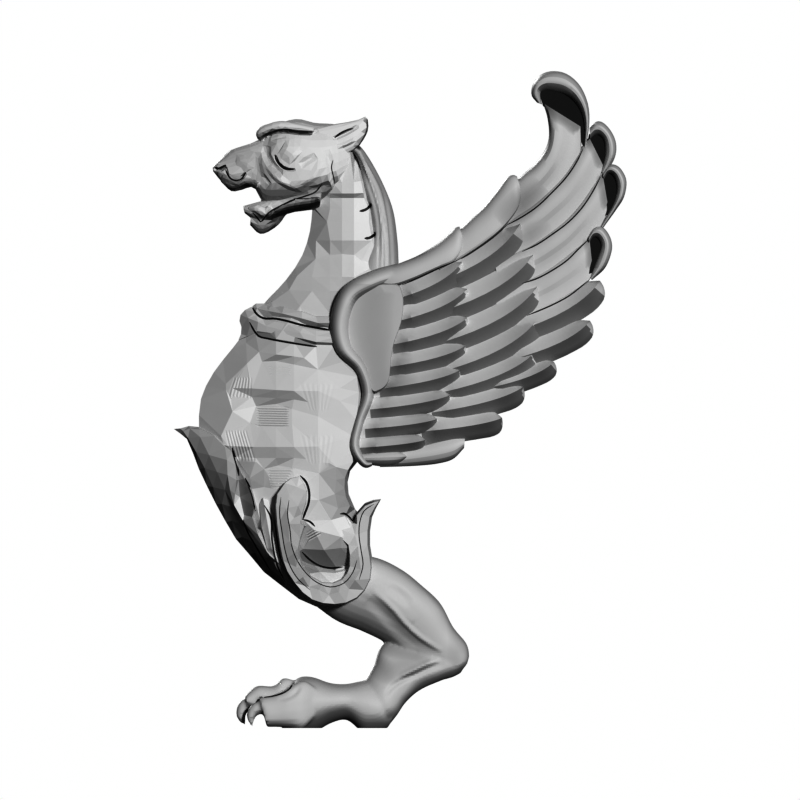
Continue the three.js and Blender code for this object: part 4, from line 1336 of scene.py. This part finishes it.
    def row(self, count: int, wide: Sequence[float], roots: Points, tips: Points, lift: float) -> list[Shell]:
        """Lays a row of feathers.

        Args:
            count: How many.
            wide: The first and the last feather's width.
            roots: The line their roots follow.
            tips: The line their tips follow.
            lift: How much higher the row lies than the lowest one.

        Returns:
            Their closed skins, lowest first.
        """
        feathers = zip(spread(roots, count), spread(tips, count), np.linspace(*wide, count))
        return [self.feather_at(*feather, lift) for feather in feathers]

    def between(self, stations: Points, profile: Profile, rings: int) -> Shell:
        """Makes a strip between two edges.

        Args:
            stations: Rows of upper x and z, lower x and z, and height.
            profile: The shape across it.
            rings: Sections along the strip.

        Returns:
            The closed skin.
        """
        rows, across = spread(stations, rings), np.array(profile.value)
        grid = np.empty((rings, len(across), 3))
        grid[..., :2] = rows[:, None, :2] + (rows[:, None, 2:4] - rows[:, None, :2]) * across[None, :, :1]
        grid[..., 2] = rows[:, 4:5] * across[:, 1]
        return self.strip(grid)

    def hollow(self, stations: Points) -> list[Shell]:
        """Shapes the hollow under a rolled tip, painted black as shade, and the plain strip behind it.

        Args:
            stations: Rows of upper x and z, and lower x and z.

        Returns:
            Their closed skins.
        """
        dark = self.between([(*row, 5) for row in stations], Profile.HOLLOW, 24)
        dark.points[:, 1] = np.minimum(dark.points[:, 1], 1 - self.stand(dark.points[:, 0]))
        # Painted shade: the hollow's strip is painted black.
        dark.finish = Finish.PAINTED_BLACK
        return [dark, self.between([(*row, 4) for row in stations], Profile.BACKING, 24)]

    def shoulder(self) -> Shell:
        """Shapes the smooth plate behind the rim.

        Returns:
            Its closed skin.
        """
        line = spread([*self.plate, self.plate[0]], 64)[:-1]
        low, high = self.plate_heights
        rings = []
        for size, out in ((1, -0.5), (1, 0.8), (0.975, 1), (0.8, 1.02), (0.55, 1.03), (0.3, 1.03),
                          (0.1, 1.03)):
            flat = line.mean(axis=0) + (line - line.mean(axis=0)) * size
            slant = low + (high - low) * (flat[:, 0] - self.plate_front) / self.plate_reach
            rings.append(np.column_stack((flat[:, 0], -(self.stand(flat[:, 0]) + slant * out), flat[:, 1])))
        return loft(np.array(rings)[::-1])

    def root_block(self) -> Shell:
        """Shapes the plain block that ties the wing to the breast.

        Returns:
            Its closed skin.
        """
        turn = turns(28)
        (x, z), (wide, tall) = self.root_middle, self.root_halves
        rings = []
        for y, size in ((0.02, 1.15), (self.root - 0.012, 1.1), (self.root + 0.004, 0.95)):
            side, up = x + wide * size * np.cos(turn), z + tall * size * np.sin(turn)
            rings.append(np.column_stack((side, np.full(len(turn), -squares(y)), up)))
        return loft(rings)

    def build(self) -> list[Shell]:
        """Lays all the parts of the near wing.

        Returns:
            Their closed skins.
        """
        shade_dimmed = [self.between(stations, Profile.CHANNEL, 40) for stations in self.primaries]
        shade_dimmed += [self.between(stations, Profile.LIP, 32) for stations in self.curls]
        shade_dimmed.append(self.between(self.lowest, Profile.ROUNDED, 24))
        shade_dimmed.append(self.between(self.lobe, Profile.ROUNDED, 20))
        tube = [(-np.cos(a), 1.25 * np.sin(a) - 0.25) for a in np.linspace(0, np.pi, 15)]
        shade_dimmed += [self.shoulder(), self.root_block(), self.band(self.rim, tube, 70)]
        shade_dimmed += [self.between(stations, Profile.COVERT, 34) for stations in self.coverts]
        # Painted shade: these parts are painted a shade darker all over.
        for shell in shade_dimmed:
            shell.finish = Finish.PAINTED_DIMMER
        hollows = [shell for stations in self.hollows for shell in self.hollow(stations)]
        rows = enumerate(zip(self.counts, self.widths, self.roots, self.tips))
        feathers = [feather for i, row in rows for feather in self.row(*row, i * self.lift)]
        return [*shade_dimmed, *hollows, *feathers]


@dataclass(frozen=True)
class SatinGrey:
    """Satin grey primer over carved wood, with shade painted dark in its cuts, hollows and undersides.

    Attributes:
        colour: The grey of the open surfaces, as a linear value.
        painted_shade: The near-black grey painted where shade falls.
        drift: How far the grey drifts from place to place, as a share.
        clouds: The scale and detail of that drift.
        roughness: How matt it is, from its smoothest to its roughest.
        grain: The scale and detail of its fine grain.
        grain_strength: How clearly the grain shows in the light.
        grain_height: How high the grain stands, in metres.
        gloss: The strength of its highlights.
    """

    colour: float = 0.62
    painted_shade: float = 0.012
    drift: float = 0.035
    clouds: tuple[float, float] = (28, 5)
    roughness: tuple[float, float] = (0.49, 0.63)
    grain: tuple[float, float] = (900, 3)
    grain_strength: float = 0.12
    grain_height: float = 0.0004
    gloss: float = 0.25

    def material(self, name: str) -> bpy.types.Material:
        """Makes the finish.

        Args:
            name: The material's name.

        Returns:
            The new material.
        """
        material = bpy.data.materials.new(name)
        material.use_nodes = True
        nodes, links = material.node_tree.nodes, material.node_tree.links
        shader = nodes["Principled BSDF"]
        place = nodes.new("ShaderNodeTexCoord")

        def noise(look: tuple[float, float], low: float, high: float) -> tuple:
            """Adds a noise, and a range that it is spread over.

            Args:
                look: Its scale and detail.
                low: The lowest value.
                high: The highest value.

            Returns:
                The noise and its range.
            """
            texture, reach = nodes.new("ShaderNodeTexNoise"), nodes.new("ShaderNodeMapRange")
            texture.inputs["Scale"].default_value, texture.inputs["Detail"].default_value = look
            reach.inputs["To Min"].default_value, reach.inputs["To Max"].default_value = low, high
            links.new(place.outputs["Object"], texture.inputs["Vector"])
            links.new(texture.outputs["Fac"], reach.inputs["Value"])
            return texture, reach

        _, tone = noise(self.clouds, self.colour * (1 - self.drift), self.colour * (1 + self.drift))
        grain, rough = noise(self.grain, *self.roughness)
        # Painted shade: the stronger of the two shade layers mixes the grey towards near black.
        darkest_paint = nodes.new("ShaderNodeMath")
        darkest_paint.operation = "MAXIMUM"
        for socket, layer in zip(darkest_paint.inputs, ("painted_shade", "face_shade")):
            stored = nodes.new("ShaderNodeAttribute")
            stored.attribute_name = layer
            links.new(stored.outputs["Fac"], socket)
        mix = nodes.new("ShaderNodeMix")
        mix.data_type = "RGBA"
        links.new(darkest_paint.outputs["Value"], mix.inputs["Factor"])
        links.new(tone.outputs["Result"], mix.inputs["A"])
        mix.inputs["B"].default_value = (self.painted_shade, self.painted_shade, self.painted_shade, 1)
        links.new(mix.outputs["Result"], shader.inputs["Base Color"])
        links.new(rough.outputs["Result"], shader.inputs["Roughness"])
        bump = nodes.new("ShaderNodeBump")
        bump.inputs["Strength"].default_value = self.grain_strength
        bump.inputs["Distance"].default_value = self.grain_height
        links.new(grain.outputs["Fac"], bump.inputs["Height"])
        links.new(bump.outputs["Normal"], shader.inputs["Normal"])
        shader.inputs["Specular IOR Level"].default_value = self.gloss
        return material


@dataclass
class Griffin:
    """The whole carving.

    Attributes:
        name: The piece's name.
        painted_under_shade: The shade painted dark on surfaces that face down.
        painted_feather_shade: The shade painted under the crisp feathers.
        shade_dimmed: The shade painted a step darker over the smooth parts.
        crease: The angle from which an edge stays crisp, in degrees.
        overhang: How far a surface faces down where its painted shade begins.
        overhang_span: Over how much more it grows to the full.
        side_on: How far a surface faces sideways where the shade strokes paint fully.
        grooves: The narrow cuts, painted black as shade.
        shade_strokes: The strokes of painted shade.
    """

    name: str = "griffin_carving"
    painted_under_shade: float = 0.6
    painted_feather_shade: float = 0.62
    shade_dimmed: float = 0.17
    crease: float = 32
    overhang: float = 0.25
    overhang_span: float = 0.4
    side_on: float = 0.22
    grooves: tuple = (
        Groove(((-14.5, 516.8), (-10, 517.7), (-6, 520), (-2.5, 524.5)), 2.6, 2),
        Groove(((-9.5, 489.7), (-5, 490), (-2, 491.5), (1.5, 494.5)), 2.6, 2),
        Groove(((-99, 573.5), (-98, 569), (-95, 564), (-90, 559.7), (-80, 558.5)), 1.9),
        Groove(((-159.5, 560.5), (-156, 559.3), (-153, 560.4), (-148, 563)), 2.2),
        Groove(((-148.5, 558.5), (-146, 553), (-143, 549.2), (-138, 547.5), (-134, 548.2), (-128, 556)), 1.6),
        Groove(((-121.5, 515.5), (-117, 510.5), (-113, 506.2), (-110, 509.5), (-106, 514.5), (-94, 521.8),
               (-81, 527.8), (-69, 531.8), (-59, 535.8), (-52, 544)), 1.5),
        Groove(((-39.5, 590), (-35, 593.7), (-29, 597), (-21, 599.7)), 2, 1.4),
        Groove(((-41, 568), (-42.5, 561), (-41, 553), (-39, 544)), 1),
        Groove(((-122, 421.5), (-119, 416), (-115, 412), (-111, 410), (-99, 409.4), (-87, 407), (-74, 403.4),
               (-62, 401), (-43, 397.7)), 2.1, 2),
        Groove(((-124.5, 406), (-122, 401), (-119, 396), (-115.5, 392), (-106, 389.4), (-94, 387),
               (-74, 383.7), (-57, 381.2)), 1.8, 1.6),
        Groove(((-74, 252.5), (-68, 246), (-65.2, 238), (-65.2, 226), (-69, 215), (-71.5, 208)), 2.2, 2),
        Groove(((-71, 208.5), (-64, 206.2), (-59, 201.5)), 1.9, 2),
        Groove(((-34, 214), (-30, 214.4), (-25, 211.6), (-21, 206.5)), 2, 2),
        Groove(((-21, 207), (-17, 214.8), (-9, 223.4), (0, 226.7)), 2, 1.8),
        Groove(((-129, 250), (-123.5, 238), (-120.4, 228), (-118.7, 217)), 2.2, 2),
        Groove(((-142, 280.5), (-139.5, 271), (-137, 262), (-135, 252)), 2.2, 2),
        Groove(((-131, 208), (-126, 195), (-119, 183), (-112, 171), (-104, 158)), 1.6, 1.8),
        Groove(((-110, 223), (-104, 213), (-102, 188), (-97, 163), (-89, 146)), 1.8, 2),
        Groove(((-85, 228), (-86.5, 216), (-84, 198), (-82, 181), (-77, 168), (-68, 155), (-56, 145),
               (-43, 141), (-30, 145), (-21, 156), (-17, 168)), 0.9, 0.9),
        Groove(((0, 224), (-10, 217), (-14, 207), (-15, 193), (-13, 178), (-11, 163), (-15, 148)), 0.9, 0.9),
        Groove(((-93, 231), (-94.5, 216), (-92, 196), (-89, 178), (-84, 162), (-76, 149), (-64, 138)), 0.9,
               0.9),
        Groove(((-72, 176), (-64, 168), (-54, 162), (-44, 160), (-31, 161)), 1.9, 1.6),
        Groove(((28, 443), (47, 451.2), (66, 460.2), (84, 467.8)), 1.2),
        Groove(((87, 469), (97, 475.2), (109, 483.2), (121, 492.2), (133, 503.2)), 1.4),
        Groove(((133, 503), (147, 510.5), (162, 520.5), (178, 535.5), (192, 550.5), (202, 565), (209, 579)),
               1.3),
        Groove(((148, 476.5), (163, 483.5), (178, 493.5), (194, 505.5), (209, 521.5), (217, 533.5),
               (226.5, 551)), 1.3),
        Groove(((148, 444.5), (163, 449.5), (178, 457.5), (194, 468.5), (204, 478.5), (214, 488)), 1.3),
        Groove(((153, 412.5), (163, 416.5), (178, 423), (194, 431.5), (215, 448)), 1.3),
        Groove(((-81, 48), (-83, 41), (-89, 36), (-99, 32.5), (-115, 30.7)), 1.5),
    )
    # Painted shade: strokes that paint the creases, hollows, undersides and shaded facets dark.
    shade_strokes: tuple = (
        painted_shade(0.8, 3, 0.15, (165, 625), (171, 615), (175, 602), (174, 590), (170, 578)),
        painted_shade(0.4, 17, 0.03, (-194, 298), (-178, 288), (-163, 268), (-155, 246), (-148, 228)),
        painted_shade(0.35, 13, 0.02, (-136, 266), (-118, 250), (-108, 234)),
        painted_shade(0.55, 9, 0.1, (-134, 248), (-127, 228), (-125, 213)),
        painted_shade(1, 9, 0.01, (-106, 508), (-100, 511), (-91, 515), (-77, 519.5), (-62, 522.5), (-54, 526)),
        painted_shade(0.5, 13, 0.05, (-121, 506), (-112, 500), (-102, 506)),
        painted_shade(0.72, 8.5, 0.02, (-160, 553), (-148, 546), (-131, 543), (-117, 544)),
        painted_shade(0.4, 5, 0.02, (-142, 552), (-131, 550)),
        painted_shade(0.3, 15, 0.2, (-152, 565), (-134, 568), (-116, 563), (-110, 543)),
        painted_shade(0.5, 11, 0.1, (-114, 536), (-89, 536), (-62, 538), (-42, 545)),
        painted_shade(0.25, 6, 0.1, (-100, 587), (-107, 575), (-106, 565), (-94, 552)),
        painted_shade(0.95, 4.5, 0.05, (-6, 610), (-5.5, 600), (-9, 590), (-17, 579)),
        painted_shade(0.9, 5.5, 0.05, (-136, 540), (-127, 543), (-117, 543)),
        painted_shade(0.7, 5, 0.05, (-116, 591), (-115, 586)),
        painted_shade(0.4, 26, 0.02, (-27, 260), (-33, 238), (-29, 212)),
        painted_shade(0.24, 15, 0.01, (-75, 242), (-79, 208), (-78, 178), (-62, 148), (-39, 136), (-18, 146),
              (-8, 168), (-8, 203), (2, 224)),
        painted_shade(0.95, 3.5, 0.02, (-124, 503), (-120, 496), (-114, 493), (-106, 495), (-97, 504)),
        painted_shade(0.3, 36, 0.01, (0, 444), (-4, 410), (0, 376), (10, 336)),
        painted_shade(0.22, 16, 0.05, (-29, 428), (-36, 406), (-31, 378), (-12, 354)),
        painted_shade(0.35, 13, 0.02, (-133, 412), (-125, 397)),
        painted_shade(0.5, 4.5, 0.02, (-116, 394), (-89, 388), (-58, 383)),
        painted_shade(0.3, 3, 0.02, (-44, 532), (-24, 532), (-10, 532.5)),
        painted_shade(0.6, 12, 0.1, (172, 624), (182, 616), (196, 608), (206, 597)),
        painted_shade(0.5, 9, 0.1, (215, 590), (223, 576), (228, 560)),
        painted_shade(0.5, 9, 0.1, (228, 554), (231, 536), (234, 518)),
        painted_shade(0.5, 9, 0.1, (214, 490), (218, 474), (218, 458)),
        painted_shade(0.98, 3, 0.1, (-112, 590), (-108, 593.5), (-102, 596), (-94, 597.2), (-84, 597), (-74, 595.5),
              (-62, 595)),
        painted_shade(0.95, 6, 0.004, (-203, 301), (-187, 286.5), (-181, 273), (-167, 240), (-148, 204), (-125, 172),
              (-92, 140)),
        painted_shade(0.25, 12, 0.1, (-14, 583), (4, 543), (18, 493), (22, 458)),
        painted_shade(0.55, 22, 0.8, (126, 502), (145, 521), (171, 544)),
        painted_shade(0.4, 16, 0.8, (136, 478), (154, 491), (178, 506)),
        painted_shade(0.35, 20, 0.3, (-2, 66), (18, 56), (38, 66), (56, 73)),
        painted_shade(0.3, 22, 0.3, (83, 116), (88, 88), (82, 60)),
        painted_shade(0.4, 16, 0.2, (-14, 88), (6, 88), (28, 76), (58, 68)),
        painted_shade(0.3, 14, 0.3, (31, 168), (56, 143), (74, 116)),
    )

    def build(self) -> bpy.types.Object:
        """Cuts all the parts and joins them into one skin.

        Returns:
            The carving.
        """
        parts = {"trunk": [Trunk().build()], "collar": [Collar().build()], "mane": [Mane().build()],
                 "head": [Head().build()], "leg": [Leg().build()], "leaves": Leaves().build()}
        near = Wing().build()
        parts["near wing"] = near
        parts["far wing"] = [shell.mirrored() for shell in near]
        pieces = []
        for label, shells in parts.items():
            LOG.info("%s: %d skins, %d points", label, len(shells), sum(len(s.points) for s in shells))
            pieces += [shell.to_object(f"{label}_{i}") for i, shell in enumerate(shells)]
        whole = pieces[0]
        changed(whole, pieces[1:], Change.ADD)
        whole.name = self.name
        changed(whole, self.blades(whole), Change.CUT_AWAY)
        return whole

    def blades(self, piece: bpy.types.Object) -> list[bpy.types.Object]:
        """Shapes the blades that cut the narrow dark grooves.

        Args:
            piece: The carving.

        Returns:
            The blades, on both sides.
        """
        mesh = piece.data
        skin = BVHTree.FromPolygons([v.co for v in mesh.vertices], [tuple(p.vertices) for p in mesh.polygons])
        return [blade.to_object(f"blade_{i}_{k}") for i, groove in enumerate(self.grooves)
                for k, blade in enumerate(groove.blades(skin))]

    def shade_of_strokes(self, parts: Sequence, place: str) -> np.ndarray:
        """Measures the shade that the strokes paint on corners or facets.

        Args:
            parts: The mesh's corners or facets.
            place: The name of their coordinates.

        Returns:
            The share of painted shade on each.
        """
        spots, normals = np.empty(len(parts) * 3), np.empty(len(parts) * 3)
        parts.foreach_get(place, spots)
        parts.foreach_get("normal", normals)
        spots = spots.reshape(-1, 3)[:, (0, 2)] / SQUARE
        left = np.max([shade_stroke.dark * shade_stroke.weight(spots) ** 0.5 for shade_stroke in self.shade_strokes], axis=0)
        return left * np.clip(np.abs(normals.reshape(-1, 3)[:, 1]) / self.side_on, 0, 1)

    def dress(self, piece: bpy.types.Object) -> None:
        """Gives the carving its edges, its painted shade and its finish.

        Args:
            piece: The carving.
        """
        mesh = piece.data
        mesh.set_sharp_from_angle(angle=np.radians(self.crease))
        kinds = np.zeros(len(mesh.polygons), int)
        mesh.polygons.foreach_get("material_index", kinds)
        flat = kinds == Finish.HEWN.value
        mesh.polygons.foreach_set("use_smooth", ~flat)
        sizes, corners = np.empty(len(mesh.polygons), int), np.empty(len(mesh.loops), int)
        mesh.polygons.foreach_get("loop_total", sizes)
        mesh.loops.foreach_get("vertex_index", corners)
        # Painted shade: the strokes' shade on the corners of all but the hewn facets.
        point_shade = self.shade_of_strokes(mesh.vertices, "co")
        point_shade[corners[np.repeat(flat, sizes)]] = 0
        normals = np.empty(len(mesh.polygons) * 3)
        mesh.polygons.foreach_get("normal", normals)
        # Painted shade: darker on faces that face down, fully on the crisp feathers, over a darker base on
        # the dimmed parts, and with the strokes' shade on each hewn facet.
        down = -normals.reshape(-1, 3)[:, 2]
        under = self.painted_under_shade * np.clip((down - self.overhang) / self.overhang_span, 0, 1)
        under = np.where(kinds == Finish.SOFT.value, self.painted_feather_shade * (down > self.overhang), under)
        left = np.where(kinds == Finish.PAINTED_DIMMER.value, self.shade_dimmed + (1 - self.shade_dimmed) * under, under)
        left = np.where(flat, 1 - (1 - left) * (1 - self.shade_of_strokes(mesh.polygons, "center")), left)
        layer = mesh.attributes.new("painted_shade", "FLOAT", "POINT")
        layer.data.foreach_set("value", point_shade)
        face_shade = mesh.attributes.new("face_shade", "FLOAT", "FACE")
        face_shade.data.foreach_set("value", np.where(kinds == Finish.PAINTED_BLACK.value, 1, left))
        mesh.materials.clear()
        mesh.polygons.foreach_set("material_index", np.zeros(len(mesh.polygons), int))
        mesh.materials.append(SatinGrey().material("satin_grey"))
        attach(piece, "root")
        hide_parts("griffin")


@dataclass(frozen=True)
class Sun:
    """A soft distant light.

    Attributes:
        name: Its name.
        towards: The direction it comes from.
        strength: Its strength.
        soft: Its width as seen from the carving, in degrees.
    """

    name: str
    towards: tuple[float, float, float]
    strength: float
    soft: float

    def build(self) -> None:
        """Sets the light."""
        light = bpy.data.lights.new(self.name, "SUN")
        light.energy = self.strength
        light.angle = np.radians(self.soft)
        lamp = bpy.data.objects.new(self.name, light)
        lamp.rotation_euler = Vector(self.towards).to_track_quat("Z", "Y").to_euler()
        bpy.context.scene.collection.objects.link(lamp)


@dataclass
class Studio:
    """The floor, the light and the camera.

    Attributes:
        suns: The lights.
        sky: The strength of the white surroundings.
        floor_size: The floor's width, in metres.
        floor_drop: How far it lies under the paw, in metres.
        floor_tone: Its grey.
        floor_roughness: How matt it is.
        view: The x and z that the camera looks at, in squares.
        width: How wide it sees, in squares.
        distance: How far off it stands, in metres.
        gamma: The picture's contrast.
    """

    suns: tuple = (Sun("key", (0.29, -0.93, 0.2), 3.8, 6), Sun("back", (-0.4, 0.85, 0.3), 2.6, 12))
    sky: float = 0.06
    floor_size: float = 8
    floor_drop: float = 0.0005
    floor_tone: float = 0.86
    floor_roughness: float = 0.9
    view: tuple = (26, 328)
    width: float = 800
    distance: float = 3
    gamma: float = 0.55

    def floor(self) -> None:
        """Lays a plain pale floor."""
        bpy.ops.mesh.primitive_plane_add(size=self.floor_size, location=(0, 0, -self.floor_drop))
        floor = bpy.context.object
        floor.name = "floor"
        material = bpy.data.materials.new("floor_white")
        material.use_nodes = True
        shader = material.node_tree.nodes["Principled BSDF"]
        shader.inputs["Base Color"].default_value = (self.floor_tone, self.floor_tone, self.floor_tone, 1)
        shader.inputs["Roughness"].default_value = self.floor_roughness
        floor.data.materials.append(material)
        floor.visible_diffuse = False
        floor.visible_glossy = False

    def surroundings(self) -> None:
        """Sets white surroundings that light softly and are seen as plain white."""
        world = bpy.data.worlds.new("studio")
        bpy.context.scene.world = world
        world.use_nodes = True
        nodes, links = world.node_tree.nodes, world.node_tree.links
        soft, seen = nodes["Background"], nodes.new("ShaderNodeBackground")
        rays, mix = nodes.new("ShaderNodeLightPath"), nodes.new("ShaderNodeMixShader")
        for light, strength in ((soft, self.sky), (seen, 1)):
            light.inputs["Color"].default_value = (1, 1, 1, 1)
            light.inputs["Strength"].default_value = strength
        links.new(rays.outputs["Is Camera Ray"], mix.inputs[0])
        links.new(soft.outputs[0], mix.inputs[1])
        links.new(seen.outputs[0], mix.inputs[2])
        links.new(mix.outputs[0], nodes["World Output"].inputs["Surface"])

    def camera(self) -> None:
        """Sets the camera square to the near side, as in the photograph."""
        camera = bpy.data.cameras.new("camera")
        camera.type = "ORTHO"
        camera.ortho_scale = self.width * SQUARE
        holder = bpy.data.objects.new("camera", camera)
        holder.location = (self.view[0] * SQUARE, -self.distance, self.view[1] * SQUARE)
        holder.rotation_euler = (np.pi / 2, 0, 0)
        bpy.context.scene.collection.objects.link(holder)
        bpy.context.scene.camera = holder
        bpy.context.scene.view_settings.view_transform = "Standard"
        bpy.context.scene.view_settings.gamma = self.gamma

    def build(self) -> None:
        """Sets the floor, the lights and the camera."""
        self.floor()
        for sun in self.suns:
            sun.build()
        self.surroundings()
        self.camera()


def main() -> None:
    """Builds the studio and the carving, and logs the carving's face count."""
    logging.basicConfig(level=logging.INFO, format="%(name)s: %(message)s")
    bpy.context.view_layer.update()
    Studio().build()
    griffin = Griffin()
    piece = griffin.build()
    griffin.dress(piece)
    LOG.info("%s: %d faces", piece.name, len(piece.data.polygons))


if __name__ == "__main__":
    main()
